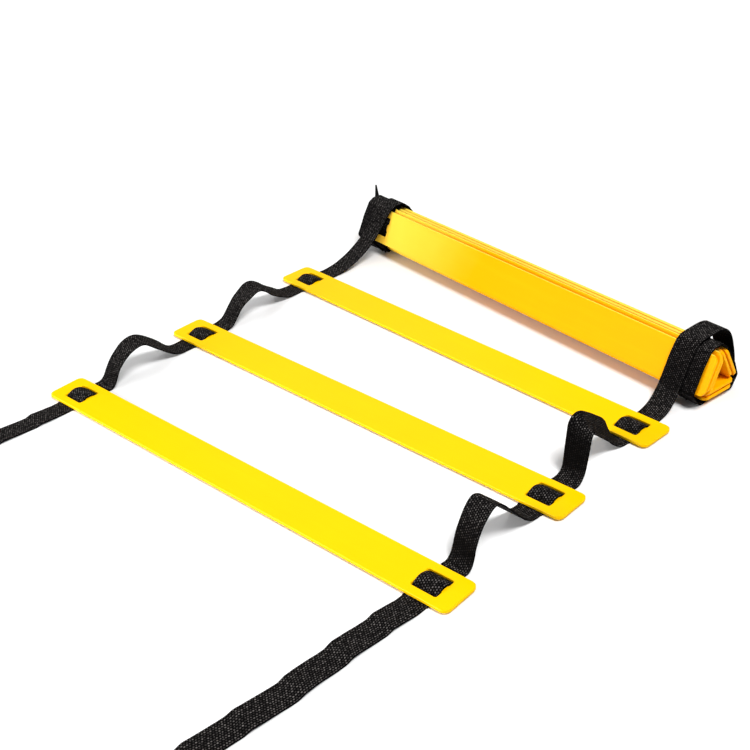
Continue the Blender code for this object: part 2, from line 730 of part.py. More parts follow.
def add_windings(material, collection, parent):
    """Both windings round the ends of the roll; returns where each begins."""
    outline = roll_outline()
    stations, total = outline_stations(outline)
    marks = landmarks(outline)
    near = GAP + STRAP_THICK / 2
    far = near + WIND_STEP
    outer = far + WIND_STEP
    front_top = marks["front_top"]
    flat_front = marks["flat_front"]
    flat_back = marks["flat_back"]

    # left: comes over the top, once round in the outer layer, then once in the inner one
    start = front_top + RING_START
    end = 2 * total - (total - flat_front) * TUCK_SHARE
    table = [(start, far, WIND_LEFT_START), (flat_back, far, WIND_LEFT_START),
             (total, far, WIND_LEFT_FRONT), (total + FRONT_EASE, near, WIND_LEFT_FRONT),
             (total + flat_back, near, WIND_LEFT_FRONT), (end, near, LEFT_WINDOW)]
    section, places = wound(table, outline, stations, total, start, end)
    section, places = drop_close(*tuck_in(section, places, LEFT_WINDOW))
    least_gap("strap_winding_left", section, places)
    section_band("strap_winding_left", section, places, material, collection, parent)
    left_start = (section[0], places[0], first_run(section))

    # right: up the front, a loose ring over the top and back, then once round tight
    table = [(0.0, outer, WIND_RIGHT_START), (FRONT_EASE, far, WIND_RIGHT_START),
             (front_top, far, WIND_RIGHT_START)]
    section, places = wound(table, outline, stations, total, RING_START, front_top)
    across_front = section[-1][0]
    across_back = max(p[0] for p in outline) + RING_STANDOFF
    ring_top = max(p[1] for p in outline) + near + RING_LIFT
    ring = [section[-2], section[-1]]
    for across, up in RING_SHARES:
        ring.append(np.array([across_front + across * (across_back - across_front),
                              FLOOR_BAND + up * (ring_top - FLOOR_BAND)]))
    ring.append(np.array([HALF_WIDTH, FLOOR_BAND]))
    route = smooth_route(ring, RING_STEP)
    ring_second = WIND_RIGHT_START + (WIND_RIGHT_SECOND - WIND_RIGHT_START) * 0.55
    count = len(route)
    for index, point in enumerate(route[3:], 3):
        section.append(np.array([point[0], max(point[1], FLOOR_BAND)]))
        places.append(WIND_RIGHT_START + (ring_second - WIND_RIGHT_START) * index / count)
    end = 2 * total - (total - flat_front) * TUCK_SHARE
    table = [(flat_back, far, ring_second), (total, far, WIND_RIGHT_SECOND),
             (total + FRONT_EASE, near, WIND_RIGHT_SECOND),
             (total + flat_back, near, WIND_RIGHT_SECOND), (end, near, RIGHT_WINDOW)]
    more_section, more_places = wound(table, outline, stations, total, flat_back + BAND_STEP, end)
    more_section, more_places = tuck_in(more_section, more_places, RIGHT_WINDOW)
    section, places = drop_close(section + more_section, places + more_places)
    least_gap("strap_winding_right", section, places)
    section_band("strap_winding_right", section, places, material, collection, parent)
    right_start = (section[0], places[0], first_run(section))
    return left_start, right_start


def add_ramp(side, meet, shares, material, collection, parent):
    """The strap from the last laid rung up to the winding."""
    label = "left" if side < 0 else "right"
    start = rim_point(side, 3, 1, PASS_END + GAP)
    point, place, run = meet
    close = point - run * GAP
    before = close - run * RAMP_LEAD
    end = roll_matrix() @ Vector((place, close[0], close[1]))
    lead = roll_matrix() @ Vector((place, before[0], before[1]))
    start_axis = rung_axis(RUNG_YAWS[2])
    end_axis = rung_axis(ROLL_YAW)
    table = []
    for way, lift in shares:
        spot = start.lerp(lead, way)
        table.append((spot.x, spot.y, FLOOR_BAND + (lead.z - FLOOR_BAND) * lift, way))
    table.append((end.x, end.y, end.z, 1.0))
    route = smooth_route(table, BAND_STEP)
    centres = [Vector((p[0], p[1], max(p[2], FLOOR_BAND))) for p in route]
    widths = [start_axis.lerp(end_axis, p[3]) for p in route]
    return band(f"strap_ramp_{label}", centres, widths, material, collection, parent,
                Matrix.Identity(4))


def add_far_ends(material, collection, parent):
    """The straps' far ends: the left one stands up behind the roll, the right one curls inside."""
    # right: from the last rung's rim, turned over into the hollow
    start = rolled_point(10, RIM_INNER + STRAP_THICK / 2 + GAP, STRAP_LOW)
    travel = np.array(FACES["front"][1])
    inward = -np.array(FACES["front"][2])
    section = [start]
    steps = 7
    middle = start + travel * STRAP_THICK + inward * END_CURL
    for step in range(steps + 1):
        angle = math.pi * step / steps
        section.append(middle - inward * END_CURL * math.cos(angle) + travel * END_CURL * math.sin(angle))
    section.append(section[-1] - travel * RUNG_THICK * 1.5)
    section.append(section[-1] - travel * RUNG_THICK * 1.5)
    section_band("strap_end_right", section, [END_WINDOW] * len(section), material, collection, parent)

    # left: along the inside of the back wall, out past the rungs' ends and up
    out = STRAP_LOW - STRAP_THICK - GAP
    low = face_point("back", HALF_WIDTH - HORN_UP, out)
    edge = SHIFT_BACK - RUNG_LENGTH / 2
    tangent = Vector((0.0, -FACES["back"][1][0], -FACES["back"][1][1]))
    leaning = Vector(HORN_LEAN).normalized()
    start = Vector((edge + HORN_INSIDE, low[0], low[1]))
    bend = Vector((edge - HORN_CLEAR, low[0], low[1]))
    turned = bend + Vector((-HORN_OUTSIDE, 0.0, 0.0)) + leaning * HORN_TURN
    tip = turned + leaning * HORN_RISE
    table = [tuple(start), tuple(start.lerp(bend, 0.5)), tuple(bend),
             tuple(bend.lerp(turned, 0.5) + Vector((-HORN_OUTSIDE, 0.0, -HORN_TURN)) * 0.17),
             tuple(turned), tuple(turned.lerp(tip, 0.5)), tuple(tip)]
    route = smooth_route(table, BAND_STEP * 0.6)
    count = len(route) - 1
    inside_width = tangent
    centres, widths = [], []
    for index, point in enumerate(route):
        centre = Vector(point[:3])
        share = min(1.0, max(0.0, (edge - centre.x + GAP) / HORN_OUTSIDE))
        outside_width = Vector(HORN_FACE).lerp(Vector(HORN_TIP_FACE), index / count)
        centres.append(centre)
        widths.append(inside_width.lerp(outside_width, share))
    band("strap_end_left", centres, widths, material, collection, parent, Matrix.Identity(4))


# ------------------------------------------------------------------------ assembly
def build():
    """Make every piece and set the ladder's middle on the origin."""
    clear_scene()
    collection = bpy.data.collections.new(LADDER_NAME)
    bpy.context.scene.collection.children.link(collection)
    yellow = make_material(YELLOW)
    black = make_material(BLACK)
    root = add_empty(LADDER_NAME, collection, None, Matrix.Identity(4))
    mesh = rung_mesh(yellow)
    for index in (1, 2, 3):
        frame = add_empty(f"laid_{index}", collection, root, laid_matrix(index))
        add_object(f"rung_{index}", mesh, collection, frame, Matrix.Identity(4))
        for side in (-1, 1):
            add_pass(side, index, black, collection, frame)
    add_hump(-1, 1, RISE_LEFT_12, LEFT_12_SHARES, LEG_TURN, black, collection, root)
    add_hump(1, 1, RISE_RIGHT_12, RIGHT_12_SHARES, LEG_TURN, black, collection, root)
    add_hump(-1, 2, RISE_LEFT_23, LEFT_23_SHARES, LEG_TURN, black, collection, root)
    add_hump(1, 2, RISE_RIGHT_23, RIGHT_23_SHARES, LEG_TURN_RIGHT_23, black, collection, root)
    tails = [add_tail(-1, TAIL_LEFT_ROUTE, black, collection, root),
             add_tail(1, TAIL_RIGHT_ROUTE, black, collection, root)]

    roll = add_empty("roll", collection, root, roll_matrix())
    for index in ROLLED:
        add_object(f"rung_{index}", mesh, collection, roll, rolled_matrix(index))
    for side in (-1, 1):
        add_roll_strap(side, black, collection, roll)
    left_start, right_start = add_windings(black, collection, roll)
    add_far_ends(black, collection, roll)
    add_ramp(-1, left_start, LEFT_RAMP_SHARES, black, collection, root)
    add_ramp(1, right_start, RIGHT_RAMP_SHARES, black, collection, root)

    bpy.context.view_layer.update()
    graph = bpy.context.evaluated_depsgraph_get()
    corners = []
    for item in collection.objects:
        if item.type == "MESH" and item not in tails:
            made = item.evaluated_get(graph)
            shape = made.to_mesh()
            corners += [item.matrix_world @ vertex.co for vertex in shape.vertices]
            made.to_mesh_clear()
    low = [min(point[axis] for point in corners) for axis in range(3)]
    high = [max(point[axis] for point in corners) for axis in range(3)]
    root.location = (-(low[0] + high[0]) / 2, -(low[1] + high[1]) / 2, -low[2])
    bpy.context.view_layer.update()
    print("shift", tuple(round(value, 6) for value in root.location))


build()
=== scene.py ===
"""Looks of an agility ladder: three flat slats laid out, seven rolled into a bundle.

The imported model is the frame. Every strap is made here as a piece of webbing that
follows the same route as its plain solid, and the slats get their plastic.
"""
from __future__ import annotations

import json
import logging
import math
from dataclasses import dataclass, field
from enum import Enum

import bmesh
import bpy
import numpy as np
from mathutils import Matrix, Vector

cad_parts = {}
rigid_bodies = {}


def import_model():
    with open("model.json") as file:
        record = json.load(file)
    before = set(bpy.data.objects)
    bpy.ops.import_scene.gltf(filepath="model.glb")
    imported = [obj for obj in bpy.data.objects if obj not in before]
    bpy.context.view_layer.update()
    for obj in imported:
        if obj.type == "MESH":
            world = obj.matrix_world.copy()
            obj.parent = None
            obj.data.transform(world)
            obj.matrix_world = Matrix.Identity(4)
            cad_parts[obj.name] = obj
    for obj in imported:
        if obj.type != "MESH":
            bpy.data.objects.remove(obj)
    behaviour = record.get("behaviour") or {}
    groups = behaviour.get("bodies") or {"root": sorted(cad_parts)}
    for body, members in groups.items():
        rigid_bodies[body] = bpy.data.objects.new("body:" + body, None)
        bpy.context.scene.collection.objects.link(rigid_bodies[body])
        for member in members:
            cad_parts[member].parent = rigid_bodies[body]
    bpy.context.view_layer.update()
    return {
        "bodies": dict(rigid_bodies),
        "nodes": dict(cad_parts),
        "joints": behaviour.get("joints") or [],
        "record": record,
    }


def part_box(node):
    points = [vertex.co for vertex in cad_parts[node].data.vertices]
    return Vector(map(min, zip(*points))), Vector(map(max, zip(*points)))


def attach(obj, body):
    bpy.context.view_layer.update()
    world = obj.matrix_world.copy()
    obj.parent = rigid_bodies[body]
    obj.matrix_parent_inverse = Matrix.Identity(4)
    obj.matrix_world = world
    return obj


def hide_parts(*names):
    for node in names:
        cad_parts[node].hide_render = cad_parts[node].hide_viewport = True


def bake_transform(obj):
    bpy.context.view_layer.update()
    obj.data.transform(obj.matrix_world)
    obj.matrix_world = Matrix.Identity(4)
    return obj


LOG = logging.getLogger("agility_ladder")
Section = list[np.ndarray]
Band = tuple[Section, list[float]]
Socket = bpy.types.NodeSocket


class Side(Enum):
    """The two ends of the slats."""

    LEFT = -1
    RIGHT = 1

    @property
    def word(self) -> str:
        """The side's name as the nodes spell it."""
        return self.name.lower()


# sizes
@dataclass(frozen=True)
class SlatSizes:
    """A flat slat with a window near each end."""

    length: float = 0.430
    width: float = 0.033
    thick: float = 0.0026
    rim: float = 0.007
    bar: float = 0.006
    slot_inset: float = 0.0245

    @property
    def half_width(self) -> float:
        """Half the slat's width."""
        return self.width / 2

    @property
    def rim_inner(self) -> float:
        """Distance from the slat's middle to the inner side of its rim."""
        return self.half_width - self.rim

    @property
    def bar_half(self) -> float:
        """Half the width of the bar that splits a window."""
        return self.bar / 2

    @property
    def window(self) -> float:
        """Distance of a window from the slat's middle."""
        return self.length / 2 - self.slot_inset


@dataclass(frozen=True)
class StrapSizes:
    """The webbing and its clearances."""

    width: float = 0.020
    thick: float = 0.0011
    gap: float = 0.0003
    wind_gap: float = 0.0005
    pass_crown: float = 0.0013
    pass_reach: float = 0.0010
    selvedge: float = 0.0005
    band_step: float = 0.0055
    tail_step: float = 0.0080
    fine_step: float = 0.0016
    window_step: float = 0.0007
    roll_step: float = 0.0010
    horn_step: float = 0.0008
    curl_step: float = 0.0006


@dataclass(frozen=True)
class BendShares:
    """The strap's bend through a laid slat's window, in shares of strap, slat and bar."""

    low_reach: float = 0.75
    low_rise: float = 0.35
    slot_rise: float = 0.72
    high_reach: float = 0.85
    high_drop: float = 0.75
    bar_reach: float = 0.55
    bar_drop: float = 0.12


@dataclass(frozen=True)
class LaidSizes:
    """Places and yaws of the laid slats, and the humps between them."""

    sides: tuple[float, ...] = (0.0, 0.0032, 0.0061)
    steps: tuple[float, ...] = (0.0, 0.1229, 0.2429)
    yaws: tuple[float, ...] = (0.0, -1.67, -5.42)
    leg_turn: float = -8.0
    leg_turn_right_23: float = -16.0
    leg_shift: float = 0.0020
    leg_share: float = 0.42


@dataclass(frozen=True)
class RollSizes:
    """The rolled bundle."""

    side: float = 0.0166
    step: float = 0.3370
    yaw: float = -10.35
    hollow_base: float = 0.0300
    slip_4: float = 0.0025
    slip_5: float = 0.0030
    slip_7: float = 0.0007
    slip_9: float = 0.0018
    slip_10: float = 0.0019
    shift_front: float = 0.0035
    shift_front_inner: float = 0.0025
    shift_back: float = -0.0020
    shift_bottom: float = -0.0010
    corner_cut: float = 0.0016
    crest_clear: float = 0.0046
    crest_inner: float = 0.0001
    tuck_depth: float = 0.0020
    tuck_share: float = 0.35
    wind_left_start: float = -0.1860
    wind_left_front: float = -0.2040
    wind_right_start: float = 0.1905
    wind_right_second: float = 0.2025
    front_ease: float = 0.0110
    ring_start: float = 0.0015
    ring_step: float = 0.0040
    ring_standoff: float = 0.0060
    ring_lift: float = 0.0038
    end_curl: float = 0.0020
    ramp_lead: float = 0.0040
    horn_inside: float = 0.0160
    horn_up: float = 0.0135
    horn_clear: float = 0.0016
    horn_outside: float = 0.0058
    horn_rise: float = 0.0210
    horn_turn: float = 0.0090
    horn_lean: tuple[float, ...] = (-0.13, 0.05, 1.0)
    horn_face: tuple[float, ...] = (0.98, -0.20, 0.0)
    horn_tip_face: tuple[float, ...] = (0.94, -0.34, 0.0)


SLAT = SlatSizes()
STRAP = StrapSizes()
BEND = BendShares()
LAID = LaidSizes()
ROLL = RollSizes()

HALF_BAND = STRAP.thick / 2
STRAP_LOW = -(STRAP.gap + HALF_BAND)
STRAP_TIGHT = SLAT.thick + STRAP.gap + HALF_BAND
SLAT_BASE = STRAP.thick + STRAP.gap
PITCH = SLAT.thick + STRAP.thick + 2 * STRAP.gap
WIND_STEP = STRAP.thick + STRAP.wind_gap
PASS_END = SLAT.half_width + STRAP.pass_reach
BUNDLE_BASE = 3 * STRAP.thick + STRAP.wind_gap + 2 * STRAP.gap
HOLLOW_SIDE = SLAT.width + 2 * STRAP.gap
HOLLOW_HEIGHT = math.sqrt(HOLLOW_SIDE ** 2 - (ROLL.hollow_base / 2) ** 2)
LEAN_COS = ROLL.hollow_base / 2 / HOLLOW_SIDE
LEAN_SIN = HOLLOW_HEIGHT / HOLLOW_SIDE
INNER_BOTTOM = BUNDLE_BASE + SLAT.thick + PITCH
# how finely curves and bends are drawn, and how far they reach
SPLINE_PARTS = 24
ARC_POINTS = 4
ROUND_STEPS = 12
CORNER_REACH_SHARE = 0.45
LEAST_STEP = STRAP.thick * 0.45
BEND_DEGREES = 24
RIM_GAP_SHARE = 0.6
CURL_STEPS = 7
CURL_RUN = SLAT.thick * 1.5
RING_LEAD_SHARE = 0.55
HORN_BELLY_SHARE = 0.17
HORN_STEP = STRAP.band_step * 0.6

# middle lines of the free tails on the floor
TAIL_ROUTES = {
    Side.LEFT: (
        (-0.1915, -0.0400), (-0.1938, -0.0620), (-0.1963, -0.0860), (-0.1985, -0.1150),
        (-0.2000, -0.1500), (-0.2008, -0.1900), (-0.2020, -0.2300), (-0.2045, -0.2700),
        (-0.2080, -0.3150)),
    Side.RIGHT: (
        (0.1885, -0.0385), (0.1870, -0.0550), (0.1852, -0.0710), (0.1846, -0.0870),
        (0.1830, -0.1020), (0.1827, -0.1180), (0.1808, -0.1320), (0.1790, -0.1460),
        (0.1770, -0.1600), (0.1735, -0.1900), (0.1690, -0.2250), (0.1650, -0.2650),
        (0.1620, -0.3150)),
}
# humps: share of the way, share of the rise, bank in degrees (left edge up)
HUMP_SHARES = {
    (Side.LEFT, 1): (0.0267, (
        (0.0, 0.0, 0), (0.084, 0.045, 0), (0.137, 0.352, 0), (0.189, 0.614, 0),
        (0.263, 0.82, 0), (0.347, 0.951, 2), (0.442, 1.0, 5), (0.505, 0.963, 10),
        (0.589, 0.745, 15), (0.674, 0.502, 15), (0.747, 0.277, 13), (0.81, 0.09, 6),
        (0.874, 0.011, 0), (1.0, 0.0, 0))),
    (Side.LEFT, 2): (0.0234, (
        (0.0, 0.0, 0), (0.092, 0.08, 0), (0.148, 0.295, 0), (0.204, 0.55, 0),
        (0.276, 0.765, 2), (0.367, 0.893, 5), (0.439, 1.0, 9), (0.51, 0.98, 12),
        (0.582, 0.786, 14), (0.643, 0.55, 14), (0.714, 0.36, 13), (0.786, 0.188, 9),
        (0.857, 0.05, 3), (1.0, 0.0, 0))),
    (Side.RIGHT, 1): (0.0364, (
        (0.0, 0.0, 0), (0.077, 0.01, 0), (0.123, 0.17, 0), (0.169, 0.5, 0),
        (0.226, 0.735, 0), (0.298, 0.893, 0), (0.381, 0.985, 0), (0.44, 1.0, 0),
        (0.506, 0.925, 0), (0.583, 0.735, 0), (0.679, 0.476, 0), (0.774, 0.237, 0),
        (0.857, 0.07, 0), (0.929, 0.01, 0), (1.0, 0.0, 0))),
    (Side.RIGHT, 2): (0.0385, (
        (0.0, 0.0, 0), (0.07, 0.0, 0), (0.13, 0.04, 4), (0.18, 0.176, 12),
        (0.23, 0.54, 19), (0.28, 0.88, 21), (0.34, 1.0, 28), (0.42, 0.96, 36),
        (0.52, 0.826, 39), (0.62, 0.677, 41), (0.71, 0.535, 43), (0.79, 0.41, 44),
        (0.86, 0.25, 40), (0.93, 0.09, 22), (1.0, 0.0, 0))),
}
# ramps: share of the way, share of the rise
RAMP_SHARES = {
    Side.LEFT: ((0.0, 0.0), (0.12, 0.01), (0.28, 0.065), (0.46, 0.19),
                (0.64, 0.375), (0.82, 0.64), (1.0, 1.0)),
    Side.RIGHT: ((0.0, 0.0), (0.3, 0.02), (0.6, 0.22), (0.82, 0.58), (1.0, 1.0)),
}
# loose ring at the right end: share of the way across, share of its height
RING_SHARES = (
    (0.063, 0.935), (0.16, 0.965), (0.337, 0.985), (0.50, 1.0), (0.64, 1.0),
    (0.77, 0.965), (0.87, 0.86), (0.94, 0.68), (0.985, 0.47), (1.0, 0.27),
    (0.975, 0.13), (0.90, 0.025), (0.83, 0.0),
)


# route making
def smooth_route(points: list, step: float) -> list[np.ndarray]:
    """Even points along a smooth curve through the given rows.

    Args:
        points: rows of numbers, of which the first three (or two) are a place.
        step: the wanted distance between two points.

    Returns:
        Rows of the same width.
    """
    knots = [np.array(point, dtype=float) for point in points]
    knots = [2 * knots[0] - knots[1]] + knots + [2 * knots[-1] - knots[-2]]
    dense = []
    for index in range(1, len(knots) - 2):
        before, start, end, after = knots[index - 1:index + 3]
        for part in range(SPLINE_PARTS):
            t = part / SPLINE_PARTS
            dense.append(0.5 * (2 * start + (end - before) * t
                                + (2 * before - 5 * start + 4 * end - after) * t * t
                                + (3 * start - before - 3 * end + after) * t * t * t))
    dense.append(knots[-2])
    return resample(np.array(dense), step, 3)


def resample(rows: np.ndarray, step: float, axes: int, least: int = 2) -> list[np.ndarray]:
    """Points at even distances along a line of rows.

    Args:
        rows: the line's rows.
        step: the wanted distance.
        axes: how many leading numbers of a row are its place.
        least: the least number of stretches.

    Returns:
        The new rows, with both ends kept.
    """
    lengths = np.linalg.norm(np.diff(rows[:, :axes], axis=0), axis=1)
    along = np.concatenate([[0.0], np.cumsum(lengths)])
    count = max(least, int(round(along[-1] / step)))
    wanted = np.linspace(0.0, along[-1], count + 1)
    return [np.array([np.interp(value, along, rows[:, axis]) for axis in range(rows.shape[1])])
            for value in wanted]


def placed(x: float, y: float, z: float, yaw: float) -> Matrix:
    """The matrix of a place turned by yaw degrees."""
    return Matrix.Translation((x, y, z)) @ Matrix.Rotation(math.radians(yaw), 4, "Z")


def slat_axis(yaw: float) -> Vector:
    """The direction along a slat with this yaw."""
    return Vector((math.cos(math.radians(yaw)), math.sin(math.radians(yaw)), 0.0))


@dataclass
class Route:
    """The middle line of a strap with its width direction at each point."""

    centres: list[Vector]
    across: list[Vector]
    lead: Vector | None = None
    trail: Vector | None = None

    @property
    def length(self) -> float:
        """The route's length in metres."""
        return sum((b - a).length for a, b in zip(self.centres, self.centres[1:]))

    def moved(self, matrix: Matrix) -> Route:
        """The same route carried by a matrix.

        Args:
            matrix: what carries it.

        Returns:
            The new route.
        """
        turn = matrix.to_3x3()
        return Route([matrix @ point for point in self.centres],
                     [turn @ width for width in self.across])

    def fine(self, step: float, passes: int = 2) -> Route:
        """A finer, softer copy of the route.

        Args:
            step: distance between its points.
            passes: how often each inner point is drawn towards its neighbours.

        Returns:
            The new route, with the same ends.
        """
        rows = np.array([tuple(point) + tuple(width.normalized())
                         for point, width in zip(self.centres, self.across)])
        rows = np.array(resample(rows, step, 3))
        for _ in range(passes):
            rows[1:-1] = 0.25 * rows[:-2] + 0.5 * rows[1:-1] + 0.25 * rows[2:]
        return Route([Vector(row[:3]) for row in rows],
                     [Vector(row[3:6]).normalized() for row in rows])

    def split(self, share: float) -> tuple[Route, Route]:
        """The route cut in two at a share of its points.

        Args:
            share: where to cut, from 0 to 1.

        Returns:
            Both parts, which share the point at the cut.
        """
        index = int(round(share * (len(self.centres) - 1)))
        return (Route(self.centres[:index + 1], self.across[:index + 1],
                      trail=self.centres[index + 1]),
                Route(self.centres[index:], self.across[index:], lead=self.centres[index - 1]))


def heading(centres: list[Vector], index: int) -> Vector:
    """The direction of a line of points at one of them."""
    ahead = centres[min(index + 1, len(centres) - 1)]
    return (ahead - centres[max(index - 1, 0)]).normalized()


def banked(centres: list[Vector], across: list[Vector], banks: list[float]) -> list[Vector]:
    """Turn each width direction about the route by its bank, left edge up.

    Args:
        centres: the route's points.
        across: its width directions.
        banks: degrees, one for each point.

    Returns:
        The turned width directions.
    """
    turned = []
    for index, width in enumerate(across):
        unit = width.normalized()
        normal = unit.cross(heading(centres, index)).normalized()
        angle = math.radians(banks[index])
        turned.append(unit * math.cos(angle) - normal * math.sin(angle))
    return turned


class LaidRoutes:
    """Routes of the straps on and between the laid slats."""

    def place(self, index: int) -> Matrix:
        """The frame of a laid slat: the middle of its underside."""
        return placed(LAID.sides[index - 1], LAID.steps[index - 1], SLAT_BASE,
                      LAID.yaws[index - 1])

    def rim_point(self, side: Side, index: int, direction: int) -> Vector:
        """Where the strap's middle line ends at one rim of a laid slat."""
        reach = direction * (PASS_END + STRAP.gap)
        return self.place(index) @ Vector((side.value * SLAT.window, reach, STRAP_LOW))

    def window(self, side: Side, index: int) -> Route:
        """Under the rims and over the bar of one laid slat.

        Args:
            side: which end of the slats.
            index: the slat's number.

        Returns:
            The route from the rim in front to the rim behind.
        """
        crown = STRAP_TIGHT + STRAP.gap
        middle = (SLAT.rim_inner + SLAT.bar_half) / 2
        end = PASS_END + STRAP.gap / 2
        # from under the rim, bent up through the slot and over the bar: along, height
        half = [(end, STRAP_LOW), (SLAT.rim_inner + STRAP.thick, STRAP_LOW),
                (SLAT.rim_inner, STRAP_LOW),
                (SLAT.rim_inner - STRAP.thick * BEND.low_reach,
                 STRAP_LOW + STRAP.thick * BEND.low_rise),
                (middle, SLAT.thick * BEND.slot_rise),
                (SLAT.bar_half + STRAP.thick * BEND.high_reach,
                 crown - STRAP.thick * BEND.high_drop),
                (SLAT.bar_half * BEND.bar_reach, crown - STRAP.thick * BEND.bar_drop)]
        profile = [(-a, h) for a, h in half] + [(0.0, crown)] + [(a, h) for a, h in reversed(half)]
        centres = [Vector((side.value * SLAT.window, a, h)) for a, h in profile]
        return Route(centres, [Vector((1, 0, 0))] * len(centres)).moved(self.place(index))

    def hump(self, side: Side, first: int) -> Route:
        """The strap that stands up between two laid slats.

        Args:
            side: which end of the slats.
            first: number of the slat in front of the hump.

        Returns:
            The route from that slat to the next one.
        """
        rise, shares = HUMP_SHARES[(side, first)]
        start, end = self.rim_point(side, first, 1), self.rim_point(side, first + 1, -1)
        start_axis, end_axis = slat_axis(LAID.yaws[first - 1]), slat_axis(LAID.yaws[first])
        table = []
        for way, lift, bank in shares:
            spot = start.lerp(end, way)
            table.append((spot.x, spot.y, HALF_BAND + rise * lift, way, bank))
        route = smooth_route(table, STRAP.band_step)
        leg_turn = LAID.leg_turn_right_23 if (side, first) == (Side.RIGHT, 2) else LAID.leg_turn
        centres, across = [], []
        for row in route:
            leg = math.sin(math.pi * min(1.0, max(0.0, row[3]) / LAID.leg_share))
            centres.append(Vector((row[0] + LAID.leg_shift * leg, row[1],
                                   max(row[2], HALF_BAND))))
            turn = Matrix.Rotation(math.radians(leg_turn * leg), 3, "Z")
            across.append(turn @ start_axis.lerp(end_axis, row[3]))
        return Route(centres, banked(centres, across, [max(row[4], 0.0) for row in route]))

    def tail(self, side: Side) -> Route:
        """The free strap on the floor in front of the first slat.

        Args:
            side: which end of the slats.

        Returns:
            The route from the first slat to the cut end.
        """
        start = self.rim_point(side, 1, -1)
        lead = start - Vector((0.0, SLAT.rim, 0.0))
        table = [tuple(start), (lead.x, lead.y, HALF_BAND)]
        table += [(x, y, HALF_BAND) for x, y in TAIL_ROUTES[side]]
        centres = [Vector(row) for row in smooth_route(table, STRAP.tail_step)]
        runs = [heading(centres, index) for index in range(len(centres))]
        across = [Vector((-run.y, run.x, 0.0)) for run in runs]
        # the width directions point to the right, as on the slats
        across = [-width if width.x < 0 else width for width in across]
        across[0] = slat_axis(LAID.yaws[0])
        return Route(centres, across)


